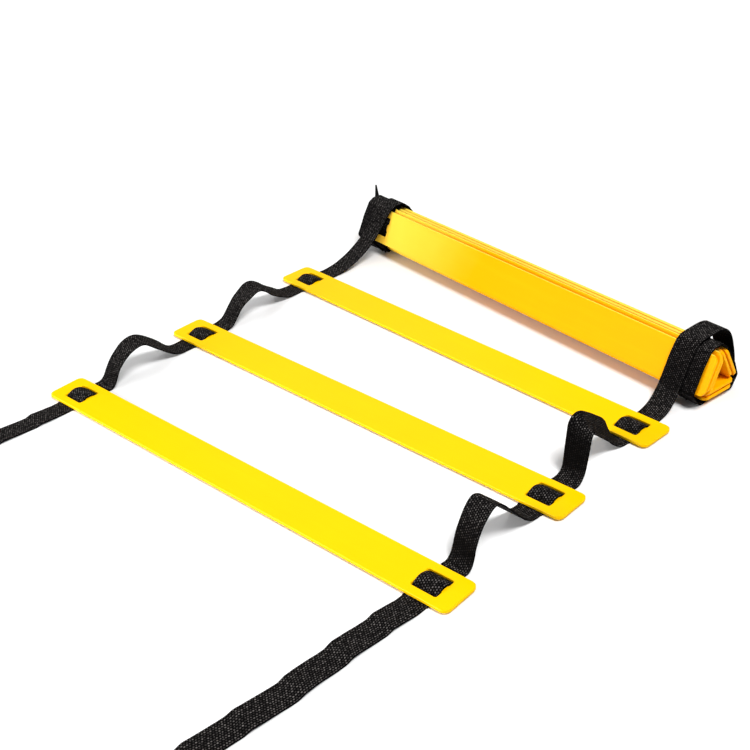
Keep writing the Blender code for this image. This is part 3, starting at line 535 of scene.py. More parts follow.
class RollRoutes:
    """Routes of the straps in and round the rolled bundle, in its section (s back, z up)."""

    # face: middle, travel, outward normal
    faces = {
        "bottom": ((0.0, 0.0), (-1.0, 0.0), (0.0, -1.0)),
        "front": ((-ROLL.hollow_base / 4, HOLLOW_HEIGHT / 2),
                  (LEAN_COS, LEAN_SIN), (-LEAN_SIN, LEAN_COS)),
        "back": ((ROLL.hollow_base / 4, HOLLOW_HEIGHT / 2),
                 (LEAN_COS, -LEAN_SIN), (LEAN_SIN, LEAN_COS)),
    }
    # slat: face, layer, slip along the strap, shift along the bundle
    rolled = {
        4: ("front", 3, -ROLL.slip_4, ROLL.shift_front),
        5: ("back", 2, ROLL.slip_5, ROLL.shift_back),
        6: ("bottom", 2, 0.0, ROLL.shift_bottom),
        7: ("front", 2, ROLL.slip_7, ROLL.shift_front),
        8: ("back", 1, 0.0, ROLL.shift_back),
        9: ("bottom", 1, -ROLL.slip_9, ROLL.shift_bottom),
        10: ("front", 1, -ROLL.slip_10, ROLL.shift_front_inner),
    }

    @property
    def matrix(self) -> Matrix:
        """The bundle's frame on the floor."""
        return placed(ROLL.side, ROLL.step, 0.0, ROLL.yaw)

    def face_point(self, face: str, along: float, out: float) -> np.ndarray:
        """A section point on a face: along the strap's travel, outward from the hollow.

        Args:
            face: which face of the hollow.
            along: distance along the strap's travel.
            out: distance outward.

        Returns:
            The point.
        """
        middle, travel, normal = self.faces[face]
        return np.array([middle[0] + along * travel[0] + out * normal[0],
                         INNER_BOTTOM + middle[1] + along * travel[1] + out * normal[1]])

    def slat_point(self, index: int, along: float, height: float) -> np.ndarray:
        """A section point in a rolled slat's own frame."""
        face, layer, slip, _ = self.rolled[index]
        return self.face_point(face, along + slip, (layer - 1) * PITCH + height)

    def slat_matrix(self, index: int) -> Matrix:
        """Frame of a rolled slat inside the bundle's frame.

        Args:
            index: the slat's number.

        Returns:
            Its frame, with the strap's travel along y.
        """
        face, _, _, shift = self.rolled[index]
        _, travel, normal = self.faces[face]
        place = self.slat_point(index, 0.0, 0.0)
        turn = Matrix(((1.0, 0.0, 0.0), (0.0, travel[0], travel[1]),
                       (0.0, normal[0], normal[1]))).transposed().to_4x4()
        return Matrix.Translation((shift, place[0], place[1])) @ turn

    def tight_pass(self, index: int) -> Section:
        """The strap through one rolled slat.

        Args:
            index: the slat's number.

        Returns:
            Four points: rim, both sides of the bar, rim.
        """
        run_out = SLAT.bar_half + HALF_BAND
        rim_in = SLAT.rim_inner - STRAP.gap * RIM_GAP_SHARE
        profile = [(-rim_in, STRAP_LOW), (-run_out, STRAP_TIGHT), (run_out, STRAP_TIGHT),
                   (rim_in, STRAP_LOW)]
        return [self.slat_point(index, a, h) for a, h in profile]

    def strap_line(self, index: int) -> tuple[str, float]:
        """Face and outward level of the strap where it leaves a rolled slat."""
        face, layer, _, _ = self.rolled[index]
        return face, (layer - 1) * PITCH + STRAP_LOW

    def corner(self, index: int) -> Section:
        """The strap from one rolled slat to the next.

        Args:
            index: number of the slat that the strap leaves.

        Returns:
            Two points, one on each side of the corner.
        """
        first, second = self.strap_line(index), self.strap_line(index + 1)
        leave, arrive = (self.face_point(face, 0.0, out) for face, out in (first, second))
        coming, going = (np.array(self.faces[face][1]) for face, _ in (first, second))
        reach = np.linalg.solve(np.array([coming, -going]).T, arrive - leave)
        meet = leave + reach[0] * coming
        if first[0] == "front":
            top = self.face_point("front", HOLLOW_SIDE / 2, 0.0)[1]
            level = top + (ROLL.crest_clear if index == 4 else ROLL.crest_inner)
            return [meet - run * (meet[1] - level) / run[1] for run in (coming, going)]
        return [meet - coming * ROLL.corner_cut, meet + going * ROLL.corner_cut]

    def section_route(self, section: Section, places: list[float]) -> Route:
        """A route in the ladder's frame from section points and places along the bundle."""
        centres = [Vector((place, point[0], point[1])) for point, place in zip(section, places)]
        return Route(centres, [Vector((1, 0, 0))] * len(centres)).moved(self.matrix)

    def threaded(self, side: Side) -> Route:
        """The strap that threads the rolled slats.

        Args:
            side: which end of the slats.

        Returns:
            The route from the outermost slat to the innermost one.
        """
        def row(point: np.ndarray, index: int) -> np.ndarray:
            """A section point with the strap's place on its slat."""
            return np.array([point[0], point[1], side.value * SLAT.window + self.rolled[index][3]])

        rows = [row(self.slat_point(4, -SLAT.half_width + ROLL.tuck_depth, STRAP_LOW), 4)]
        for index in range(4, 11):
            rows += [row(point, index) for point in self.tight_pass(index)]
            if index < 10:
                leave, arrive = self.corner(index)
                rows += [row(leave, index), row(arrive, index + 1)]
        rows.append(row(self.slat_point(10, SLAT.rim_inner + HALF_BAND, STRAP_LOW), 10))
        rows = round_corners(rows, STRAP.thick)
        return self.section_route([r[:2] for r in rows], [r[2] for r in rows])

    def outline(self) -> Section:
        """Outline of the rolled slats with the strap over their bars, flat underneath.

        Returns:
            The corners, from the one furthest in front.
        """
        points = []
        for index in self.rolled:
            for along in (-SLAT.half_width, SLAT.half_width):
                for height in (0.0, SLAT.thick):
                    points.append(self.slat_point(index, along, height))
            for along in (-SLAT.bar_half - HALF_BAND, SLAT.bar_half + HALF_BAND):
                points.append(self.slat_point(index, along, STRAP_TIGHT + HALF_BAND))
        for point in [point for index in range(4, 10) for point in self.corner(index)]:
            for step in range(ROUND_STEPS):
                angle = math.radians(360 / ROUND_STEPS * step)
                around = np.array([math.cos(angle), math.sin(angle)])
                points.append(point + around * HALF_BAND)
        low = self.slat_point(6, 0.0, STRAP_TIGHT + HALF_BAND)[1]
        points += [np.array([-SLAT.half_width, low]), np.array([SLAT.half_width, low])]
        outline = hull(points)
        start = min(range(len(outline)), key=lambda i: outline[i][0])
        return outline[start:] + outline[:start]

    def stations(self, outline: Section) -> tuple[list, float]:
        """Base points, outward normals and lengths once round the outline.

        Args:
            outline: the outline's corners.

        Returns:
            Rows of length, base point and normal, and the whole length.
        """
        stations, total, count = [], 0.0, len(outline)
        for index in range(count):
            here, before, after = outline[index], outline[index - 1], outline[(index + 1) % count]
            coming = (here - before) / np.linalg.norm(here - before)
            going = (after - here) / np.linalg.norm(after - here)
            old, new = np.array([-coming[1], coming[0]]), np.array([-going[1], going[0]])
            angle = math.acos(max(-1.0, min(1.0, float(np.dot(old, new)))))
            steps = max(1, int(math.ceil(math.degrees(angle) / BEND_DEGREES)))
            first = math.atan2(old[1], old[0])
            for step in range(steps + 1):
                turn = first - angle * step / steps
                stations.append((total, here, np.array([math.cos(turn), math.sin(turn)])))
            run = float(np.linalg.norm(after - here))
            parts = max(1, int(math.ceil(run / (2 * STRAP.band_step))))
            for part in range(1, parts):
                way = (after - here) * part / parts
                stations.append((total + run * part / parts, here + way, new))
            total += run
        return stations, total

    def landmarks(self, outline: Section) -> dict[str, float]:
        """Lengths along the outline: front top, flat bottom's back and front ends.

        Args:
            outline: the outline's corners.

        Returns:
            The lengths by name.
        """
        total, marks = 0.0, {}
        top_front = self.slat_point(4, SLAT.half_width, SLAT.thick)
        flat_back = max((p for p in outline if p[0] > 0), key=lambda p: (-p[1], p[0]))
        flat_front = min((p for p in outline if p[0] < 0), key=lambda p: (p[1], p[0]))
        for index, here in enumerate(outline):
            if np.linalg.norm(here - top_front) < STRAP.thick * 2:
                marks["front_top"] = total
            if np.allclose(here, flat_back):
                marks["flat_back"] = total
            if np.allclose(here, flat_front):
                marks["flat_front"] = total
            total += float(np.linalg.norm(outline[(index + 1) % len(outline)] - here))
        marks.setdefault("front_top", float(np.linalg.norm(top_front - outline[0])))
        return marks

    def windings(self) -> dict[Side, Band]:
        """Section points and places of both windings, in travel order.

        Returns:
            For each side its points and their places along the bundle.
        """
        outline = self.outline()
        stations, total = self.stations(outline)
        marks = self.landmarks(outline)
        near = STRAP.gap + HALF_BAND
        far = near + WIND_STEP
        front_top, flat_back = marks["front_top"], marks["flat_back"]
        left_window, right_window = ROLL.shift_front - SLAT.window, ROLL.shift_front + SLAT.window
        start = front_top + ROLL.ring_start
        end = 2 * total - (total - marks["flat_front"]) * ROLL.tuck_share

        def home(first: float, front: float, window: float) -> list:
            """Rows from the flat's back end once round and in to the window.

            Args:
                first: place at the flat's back end.
                front: place on the front face.
                window: place of the window.

            Returns:
                The rows.
            """
            return [(flat_back, far, first), (total, far, front),
                    (total + ROLL.front_ease, near, front), (total + flat_back, near, front),
                    (end, near, window)]

        table = [(start, far, ROLL.wind_left_start),
                 *home(ROLL.wind_left_start, ROLL.wind_left_front, left_window)]
        section, places = wound(table, outline, stations, total, start, end)
        left = drop_close(*self.tuck_in(section, places, left_window))

        table = [(0.0, far + WIND_STEP, ROLL.wind_right_start),
                 (ROLL.front_ease, far, ROLL.wind_right_start),
                 (front_top, far, ROLL.wind_right_start)]
        section, places = wound(table, outline, stations, total, ROLL.ring_start, front_top)
        across_front = section[-1][0]
        across_back = max(p[0] for p in outline) + ROLL.ring_standoff
        ring_top = max(p[1] for p in outline) + near + ROLL.ring_lift
        ring = [section[-2], section[-1]]
        for across, up in RING_SHARES:
            ring.append(np.array([across_front + across * (across_back - across_front),
                                  HALF_BAND + up * (ring_top - HALF_BAND)]))
        ring.append(np.array([SLAT.half_width, HALF_BAND]))
        route = smooth_route(ring, ROLL.ring_step)
        first = ROLL.wind_right_start
        second = first + (ROLL.wind_right_second - first) * RING_LEAD_SHARE
        for index, point in enumerate(route[3:], 3):
            section.append(np.array([point[0], max(point[1], HALF_BAND)]))
            places.append(first + (second - first) * index / len(route))
        table = home(second, ROLL.wind_right_second, right_window)
        more, more_places = wound(table, outline, stations, total,
                                  flat_back + STRAP.band_step, end)
        more, more_places = self.tuck_in(more, more_places, right_window)
        right = drop_close(section + more, places + more_places)
        return {Side.LEFT: left, Side.RIGHT: right}

    def tuck_in(self, section: Section, places: list[float], place: float) -> Band:
        """Turn a winding's last run in under the lower rim of the outermost slat.

        Args:
            section: the winding's points.
            places: their places along the bundle.
            place: the window's place.

        Returns:
            Points and places with the last run added.
        """
        goal = self.slat_point(4, -SLAT.half_width + ROLL.tuck_depth - STRAP.gap, STRAP_LOW)
        travel = np.array(self.faces["front"][1])
        run = (section[-1] - section[-2]) / np.linalg.norm(section[-1] - section[-2])
        reach = np.linalg.solve(np.array([run, -travel]).T, goal - section[-1])
        bend = section[-1] + run * reach[0]
        turned = round_corners([section[-1], bend, goal], STRAP.thick)
        return section + turned[1:], places + [place] * (len(turned) - 1)

    def ramp(self, side: Side, laid: LaidRoutes, section: Section, places: list[float]) -> Route:
        """The strap from the last laid slat up to where its winding sets out.

        Args:
            side: which end of the slats.
            laid: routes of the laid slats.
            section: the winding's points.
            places: their places along the bundle.

        Returns:
            The ramp's route.
        """
        start = laid.rim_point(side, 3, 1)
        run = section[1] - section[0]
        run = run / np.linalg.norm(run)
        outward = np.array([-run[1], run[0]])
        close = section[0] + run * STRAP.thick + outward * STRAP.gap / 2
        before = section[0] - run * (STRAP.gap + ROLL.ramp_lead)
        end = self.matrix @ Vector((places[0], close[0], close[1]))
        lead = self.matrix @ Vector((places[0], before[0], before[1]))
        start_axis, end_axis = slat_axis(LAID.yaws[2]), slat_axis(ROLL.yaw)
        table = []
        for way, lift in RAMP_SHARES[side]:
            spot = start.lerp(lead, way)
            table.append((spot.x, spot.y, HALF_BAND + (lead.z - HALF_BAND) * lift, way))
        table.append((end.x, end.y, end.z, 1.0))
        route = smooth_route(table, STRAP.band_step)
        return Route([Vector((p[0], p[1], max(p[2], HALF_BAND))) for p in route],
                     [start_axis.lerp(end_axis, p[3]) for p in route])

    def curl(self) -> Route:
        """The right strap's far end, turned over into the hollow.

        Returns:
            The route from the innermost slat's rim.
        """
        start = self.slat_point(10, SLAT.rim_inner + HALF_BAND + STRAP.gap, STRAP_LOW)
        travel = np.array(self.faces["front"][1])
        inward = -np.array(self.faces["front"][2])
        section = [start]
        middle = start + travel * STRAP.thick + inward * ROLL.end_curl
        for step in range(CURL_STEPS + 1):
            angle = math.pi * step / CURL_STEPS
            section.append(middle - inward * ROLL.end_curl * math.cos(angle)
                           + travel * ROLL.end_curl * math.sin(angle))
        for _ in range(2):
            section.append(section[-1] - travel * CURL_RUN)
        place = ROLL.shift_front_inner + SLAT.window
        return self.section_route(section, [place] * len(section))

    def horn(self) -> Route:
        """The left strap's far end: along the back wall, out past the slats' ends and up.

        Returns:
            The route from the back wall to the tip.
        """
        low = self.face_point("back", SLAT.half_width - ROLL.horn_up,
                              STRAP_LOW - STRAP.thick - STRAP.gap)
        edge = ROLL.shift_back - SLAT.length / 2
        inside = Vector((0.0, -self.faces["back"][1][0], -self.faces["back"][1][1]))
        leaning = Vector(ROLL.horn_lean).normalized()
        start = Vector((edge + ROLL.horn_inside, low[0], low[1]))
        bend = Vector((edge - ROLL.horn_clear, low[0], low[1]))
        turned = bend + Vector((-ROLL.horn_outside, 0.0, 0.0)) + leaning * ROLL.horn_turn
        tip = turned + leaning * ROLL.horn_rise
        between = Vector((-ROLL.horn_outside, 0.0, -ROLL.horn_turn)) * HORN_BELLY_SHARE
        table = [tuple(start), tuple(start.lerp(bend, 0.5)), tuple(bend),
                 tuple(bend.lerp(turned, 0.5) + between),
                 tuple(turned), tuple(turned.lerp(tip, 0.5)), tuple(tip)]
        route = smooth_route(table, HORN_STEP)
        centres, across = [], []
        for index, row in enumerate(route):
            centre = Vector(row[:3])
            share = min(1.0, max(0.0, (edge - centre.x + STRAP.gap) / ROLL.horn_outside))
            outside = Vector(ROLL.horn_face).lerp(Vector(ROLL.horn_tip_face),
                                                  index / (len(route) - 1))
            centres.append(centre)
            across.append(inside.lerp(outside, share))
        return Route(centres, across).moved(self.matrix)


def round_corners(points: Section, radius: float) -> Section:
    """Replace each sharp bend of a section route by a short arc of points.

    Args:
        points: the route's corners.
        radius: how far an arc reaches from its corner.

    Returns:
        The route with its arcs.
    """
    result = [points[0]]
    for before, here, after in zip(points, points[1:], points[2:]):
        back, ahead = before - here, after - here
        reach = min(radius, np.linalg.norm(back) * CORNER_REACH_SHARE,
                    np.linalg.norm(ahead) * CORNER_REACH_SHARE)
        start = here + back / np.linalg.norm(back) * reach
        end = here + ahead / np.linalg.norm(ahead) * reach
        for step in range(ARC_POINTS):
            t = step / (ARC_POINTS - 1)
            result.append((1 - t) ** 2 * start + 2 * t * (1 - t) * here + t * t * end)
    result.append(points[-1])
    return result


def hull(points: Section) -> Section:
    """Convex outline, clockwise as seen with s to the right and z up.

    Args:
        points: any points.

    Returns:
        The outline's corners.
    """
    ordered = sorted({(round(float(p[0]), 7), round(float(p[1]), 7)) for p in points})

    def half(items: list) -> list:
        """The outer points along one side.

        Args:
            items: points in order.

        Returns:
            The chain.
        """
        chain: list = []
        for item in items:
            while len(chain) > 1:
                old_x, old_y = chain[-1][0] - chain[-2][0], chain[-1][1] - chain[-2][1]
                new_x, new_y = item[0] - chain[-2][0], item[1] - chain[-2][1]
                if old_x * new_y - old_y * new_x < 0:
                    break
                chain.pop()
            chain.append(item)
        return chain

    return [np.array(p) for p in half(ordered)[:-1] + half(ordered[::-1])[:-1]]


def edge_station(outline: Section, total: float, length: float) -> tuple[np.ndarray, np.ndarray]:
    """Base point and outward normal at any length on a straight run of the outline.

    Args:
        outline: the outline's corners.
        total: its whole length.
        length: how far along it.

    Returns:
        The point and the normal.
    """
    rest = length % total
    for index, here in enumerate(outline):
        after = outline[(index + 1) % len(outline)]
        run = float(np.linalg.norm(after - here))
        if rest <= run:
            way = (after - here) / run
            return here + way * rest, np.array([-way[1], way[0]])
        rest -= run
    return outline[0], np.array([-1.0, 0.0])


def wound(table: list, outline: Section, stations: list, total: float,
          start: float, end: float) -> Band:
    """A band wound on the outline between two lengths.

    Args:
        table: rows of length, height over the outline, place along the bundle.
        outline: the outline's corners.
        stations: base points, normals and lengths once round.
        total: the outline's length.
        start: where the band begins.
        end: where it ends.

    Returns:
        Section points and their places.
    """
    knots = [row[0] for row in table]

    def at(x: float, column: int) -> float:
        """A column of the table at any length."""
        return float(np.interp(x, knots, [row[column] for row in table]))

    base, normal = edge_station(outline, total, start)
    section, places = [base + normal * at(start, 1)], [at(start, 2)]
    for turn in range(int(math.floor(start / total)) - 1, int(math.floor(end / total)) + 2):
        for length, base, normal in stations:
            x = length + turn * total
            if start + STRAP.gap < x < end - STRAP.gap:
                section.append(base + normal * at(x, 1))
                places.append(at(x, 2))
    base, normal = edge_station(outline, total, end)
    return section + [base + normal * at(end, 1)], places + [at(end, 2)]


def drop_close(section: Section, places: list[float]) -> Band:
    """Leave out points that lie closer than the least step to the one before.

    Args:
        section: points of a section route.
        places: their places along the bundle.

    Returns:
        What is kept of both.
    """
    kept, kept_places = [section[0]], [places[0]]
    for point, place in zip(section[1:], places[1:]):
        if np.linalg.norm(point - kept[-1]) > LEAST_STEP:
            kept.append(point)
            kept_places.append(place)
    return kept, kept_places


# finishes
WHITE = (1.0, 1.0, 1.0, 1.0)


class NodePen:
    """A short way to add and link shader nodes."""

    def __init__(self, owner: bpy.types.ID, shader: str = "Principled BSDF") -> None:
        """Start with nothing but the owner's own shader and output.

        Args:
            owner: a new material or world.
            shader: the name of its shader node.
        """
        owner.use_nodes = True
        self.owner = owner
        self.tree = owner.node_tree
        self.shader = self.tree.nodes[shader]

    def feed(self, target: Socket, value: object) -> None:
        """Link a socket to another one, or give it a plain value.

        Args:
            target: the input.
            value: a socket or a value.
        """
        if isinstance(value, Socket):
            self.tree.links.new(value, target)
        else:
            target.default_value = value

    def add(self, kind: str, values: dict[int | str, object] | None = None,
            **settings: object) -> bpy.types.Node:
        """Add one node, set its properties and feed its inputs.

        Args:
            kind: the node's type.
            values: what feeds each input.
            settings: its properties.

        Returns:
            The node.
        """
        node = self.tree.nodes.new(kind)
        for key, value in settings.items():
            setattr(node, key, value)
        for key, value in (values or {}).items():
            self.feed(node.inputs[key], value)
        return node

    def finish(self, values: dict[str, object]) -> bpy.types.ID:
        """Feed the shader's inputs.

        Args:
            values: what feeds each input.

        Returns:
            The finished material or world.
        """
        for key, value in values.items():
            self.feed(self.shader.inputs[key], value)
        return self.owner

    def math(self, operation: str, first: object, second: object = 0.0) -> Socket:
        """One arithmetic step on numbers or sockets."""
        return self.add("ShaderNodeMath", {0: first, 1: second}, operation=operation).outputs[0]

    def times(self, first: object, second: object) -> Socket:
        """The product of two numbers or sockets."""
        return self.math("MULTIPLY", first, second)

    def plus(self, first: object, second: object) -> Socket:
        """The sum of two numbers or sockets."""
        return self.math("ADD", first, second)

    def size(self, value: object) -> Socket:
        """A number without its sign."""
        return self.math("ABSOLUTE", value)

    def parts(self, vector: Socket) -> tuple[Socket, ...]:
        """The three numbers of a vector."""
        return tuple(self.add("ShaderNodeSeparateXYZ", {0: vector}).outputs)

    def upward(self) -> Socket:
        """How far the surface faces up, from -1 to 1."""
        return self.parts(self.add("ShaderNodeNewGeometry").outputs["True Normal"])[2]

    def mix(self, factor: object, first: object, second: object) -> Socket:
        """Blend two colours."""
        return self.add("ShaderNodeMix", {"Factor": factor, 6: first, 7: second},
                        data_type="RGBA").outputs[2]

    def tint(self, mask: Socket, share: float, colour: object, over: object) -> Socket:
        """Lay one colour over another where a mask says so, by a share of it."""
        return self.mix(self.times(mask, share), colour, over)

    def noise(self, vector: Socket, scale: float, detail: float, rough: float = 0.55) -> Socket:
        """A noise pattern between 0 and 1."""
        return self.add("ShaderNodeTexNoise", {"Vector": vector, "Scale": scale, "Detail": detail,
                                               "Roughness": rough}).outputs[0]

    def ramp(self, value: Socket, low: float, high: float) -> Socket:
        """Stretch a value so that low gives 0 and high gives 1."""
        return self.add("ShaderNodeMapRange", {"Value": value, "From Min": low, "From Max": high},
                        clamp=True).outputs[0]

    def bump(self, height: Socket, distance: float, strength: float,
             below: Socket | None = None) -> Socket:
        """Turn a height into a normal, over another normal where one is given.

        Args:
            height: the height pattern.
            distance: its full height.
            strength: how strongly it shows.
            below: the other normal.

        Returns:
            The normal.
        """
        values = {"Height": height, "Distance": distance, "Strength": strength}
        if below is not None:
            values["Normal"] = below
        return self.add("ShaderNodeBump", values).outputs[0]


@dataclass(frozen=True)
class SlatPlastic:
    """Satin yellow plastic with faint drawn streaks, fine grain, rubbed corners and painted
    highlights.
    """

    base: tuple[float, ...] = (1.0, 0.565, 0.0, 1.0)
    deep: tuple[float, ...] = (1.0, 0.485, 0.0, 1.0)
    rubbed: tuple[float, ...] = (1.0, 0.70, 0.01, 1.0)
    # pale yellow of the painted highlights: the lit left end and the edges that face up
    cut_edge: tuple[float, ...] = (1.0, 0.76, 0.09, 1.0)
    # how strongly, and over which stretch from the middle, the left end gets a painted highlight
    faded: float = 0.0
    faded_span: tuple[float, float] = (0.075, 0.185)
    cloud_span: tuple[float, float] = (0.30, 0.75)
    streak_span: tuple[float, float] = (0.50, 0.90)
    rub_span: tuple[float, float] = (0.35, 0.75)
    up_span: tuple[float, float] = (0.55, 0.90)
    rub_side: float = 0.0012
    rub_end: float = 0.0014
    # how near the side, and how strongly, the edges that face up get a painted highlight
    sawn_span: tuple[float, float] = (0.0004, 0.0001)
    cloud_share: float = 0.22
    streak_share: float = 0.12
    rub_share: float = 0.35
    sawn_share: float = 0.8
    rough: float = 0.42
    shine: float = 0.03
    refraction: float = 1.49
    cloud_scale: float = 22.0
    grain_scale: float = 2600.0
    grain_depth: float = 0.00005
    streak_scale: float = 260.0
    streak_stretch: tuple[float, ...] = (0.035, 1.0, 1.0)
    streak_depth: float = 0.00012

    def make(self, name: str, place: Matrix) -> bpy.types.Material:
        """Make the material of one slat.

        Args:
            name: the material's name.
            place: the slat's frame, so that streaks run along it.

        Returns:
            The finished material.
        """
        pen = NodePen(bpy.data.materials.new(name))
        pen.owner.diffuse_color = self.base
        inverse = place.inverted()
        local = pen.add("ShaderNodeMapping", {
            "Vector": pen.add("ShaderNodeTexCoord").outputs["Object"],
            "Location": inverse.to_translation(),
            "Rotation": inverse.to_euler("XYZ")}).outputs[0]
        long = pen.add("ShaderNodeMapping", {"Vector": local, "Scale": self.streak_stretch})
        streaks = pen.noise(long.outputs[0], self.streak_scale, 4.0, 0.6)
        cloud = pen.noise(local, self.cloud_scale, 2.0)
        grain = pen.noise(local, self.grain_scale, 2.0, 0.7)
        along, across, _ = pen.parts(local)
        side, edge = pen.size(across), SLAT.half_width
        rub_y = pen.ramp(side, edge - self.rub_side, edge)
        rub_x = pen.ramp(pen.size(along), SLAT.length / 2 - self.rub_end, SLAT.length / 2)
        rub = pen.times(pen.math("MAXIMUM", rub_x, rub_y), pen.ramp(streaks, *self.rub_span))
        # clouds, streaks and rubbed edges
        clouds, drawn = pen.ramp(cloud, *self.cloud_span), pen.ramp(streaks, *self.streak_span)
        colour = pen.tint(clouds, self.cloud_share, self.base, self.deep)
        colour = pen.tint(drawn, self.streak_share, colour, self.rubbed)
        colour = pen.tint(rub, self.rub_share, colour, self.rubbed)
        # painted highlight: the left end made paler, and a painted highlight on the edges that
        # face up
        end = pen.ramp(pen.plus(pen.times(along, -1.0), pen.times(cloud, 0.05)), *self.faded_span)
        colour = pen.tint(end, self.faded, colour, self.cut_edge)
        # painted highlight where the slat's side edges face up
        edge_highlight = pen.times(pen.ramp(pen.upward(), *self.up_span),
                         pen.ramp(side, *(edge - width for width in self.sawn_span)))
        colour = pen.tint(edge_highlight, self.sawn_share, colour, self.cut_edge)
        streaked = pen.bump(streaks, self.streak_depth, 0.35)
        return pen.finish({
            "Base Color": colour,
            "Roughness": pen.plus(pen.times(streaks, 0.16), self.rough - 0.08),
            "Normal": pen.bump(grain, self.grain_depth, 0.30, streaked),
            "IOR": self.refraction,
            "Specular IOR Level": self.shine})


@dataclass(frozen=True)
class BlackWebbing:
    """Woven black strap: cords along it, crossed in brick order, with a firm selvedge and painted
    highlights on its crowns.
    """

    base: tuple[float, ...] = (0.0010, 0.0009, 0.0010, 1.0)
    # lighter colour of the weave's crowns: a painted highlight
    raised: tuple[float, ...] = (0.009, 0.0078, 0.0078, 1.0)
    # colour of the painted glints on the crowns
    dusty: tuple[float, ...] = (0.25, 0.23, 0.22, 1.0)
    cord_pitch: float = 0.00165
    pick_pitch: float = 0.00190
    cord_roundness: float = 0.6
    crown_span: tuple[float, float] = (0.58, 0.95)
    up_span: tuple[float, float] = (0.25, 0.95)
    lit_span: tuple[float, float] = (0.34, 0.60)
    sparkle_span: tuple[float, float] = (0.46, 0.62)
    weave_depth: float = 0.00032
    fleck_scale: float = 430.0
    patch_scale: float = 55.0
    patch_depth: float = 0.0006
    lit_share: float = 0.85
    # how much painted glint shows on faces turned up, and everywhere
    dust_on_top: float = 0.58
    dust_all_over: float = 0.02
    rough: float = 0.66
    sheen: float = 0.003
    shine: float = 0.02

    def make(self, name: str) -> bpy.types.Material:
        """Make the webbing's material, which reads the strap's own UV map in metres.

        Args:
            name: the material's name.

        Returns:
            The finished material.
        """
        pen = NodePen(bpy.data.materials.new(name))
        pen.owner.diffuse_color = self.base
        flat = pen.add("ShaderNodeUVMap", uv_map="webbing").outputs[0]
        width, length, _ = pen.parts(flat)
        across = pen.math("DIVIDE", width, self.cord_pitch)
        along = pen.math("DIVIDE", length, self.pick_pitch)
        # every second cord is shifted by half a pick; 64 keeps the cords' numbers above zero
        rank = pen.math("MODULO", pen.plus(pen.math("FLOOR", across), 64.0), 2.0)
        shifted = pen.plus(along, pen.times(rank, 0.5))
        cord, pick = (pen.size(pen.math("SINE", pen.times(value, math.pi)))
                      for value in (across, shifted))
        height = pen.times(pen.math("POWER", cord, self.cord_roundness),
                           pen.plus(pen.times(pick, 0.65), 0.35))
        fleck = pen.noise(flat, self.fleck_scale, 2.0, 0.7)
        patch = pen.noise(flat, self.patch_scale, 3.0, 0.6)
        # painted highlight on the weave's crowns, and painted glints that show most where the
        # strap faces up
        crowns = pen.ramp(height, *self.crown_span)
        upward = pen.ramp(pen.size(pen.upward()), *self.up_span)
        lit = pen.times(crowns, pen.ramp(fleck, *self.lit_span))
        colour = pen.tint(lit, self.lit_share, self.base, self.raised)
        flecks = pen.ramp(fleck, *self.sparkle_span)
        sparkle = pen.times(crowns, pen.plus(pen.times(flecks, 0.90), 0.10))
        # painted glints are strongest where the strap faces up
        glint_weight = pen.plus(pen.times(upward, self.dust_on_top), self.dust_all_over)
        return pen.finish({
            "Base Color": pen.mix(pen.times(sparkle, glint_weight), colour, self.dusty),
            "Roughness": pen.math("SUBTRACT", self.rough + 0.20, pen.times(crowns, 0.25)),
            "Normal": pen.bump(height, self.weave_depth, 0.9,
                               pen.bump(patch, self.patch_depth, 0.35)),
            "Sheen Weight": self.sheen,
            "Sheen Roughness": 0.5,
            "Specular IOR Level": self.shine})


@dataclass(frozen=True)
class FloorFinish:
    """Pale plain floor that shows white to the camera and keeps the object's shadow."""

    colour: tuple[float, ...] = (0.92, 0.92, 0.92, 1.0)
    rough: float = 0.35
    shine: float = 0.5
    near: float = 0.42
    far: float = 0.95

    def make(self, name: str) -> bpy.types.Material:
        """Make the floor's material.

        Args:
            name: the material's name.

        Returns:
            The finished material.
        """
        pen = NodePen(bpy.data.materials.new(name))
        spot = pen.add("ShaderNodeTexCoord").outputs["Object"]
        away = pen.add("ShaderNodeVectorMath", {0: spot}, operation="LENGTH").outputs["Value"]
        seen = pen.add("ShaderNodeLightPath").outputs["Is Camera Ray"]
        return pen.finish({
            "Base Color": self.colour,
            "Roughness": self.rough,
            "Specular IOR Level": self.shine,
            "Emission Color": WHITE,
            "Emission Strength": pen.times(seen, pen.ramp(away, self.near, self.far))})


# strap meshes
# flat stretches across a section, run-in at a band's ends, and the form of waves and folds
FLATS = 9
EASE = 0.008
RIPPLES = (410.0, 733.0)
FINE_RIPPLE = 0.6
FOLD_DRIFT = (0.10, 31.0)
FOLD_PEAK = 0.84
FOLD_RISE = 1.6


def put(name: str, data: bpy.types.ID) -> bpy.types.Object:
    """Bring a mesh, a lamp or a camera into the scene.

    Args:
        name: the object's name.
        data: what it shows.

    Returns:
        The object.
    """
    item = bpy.data.objects.new(name, data)
    bpy.context.scene.collection.objects.link(item)
    return item


def put_mesh(name: str, work: bmesh.types.BMesh, material: bpy.types.Material) -> bpy.types.Object:
    """Turn finished mesh work into an object with one material.

    Args:
        name: the object's name.
        work: the mesh work, which is freed.
        material: its material.

    Returns:
        The object.
    """
    mesh = bpy.data.meshes.new(name)
    work.to_mesh(mesh)
    work.free()
    mesh.materials.append(material)
    return put(name, mesh)


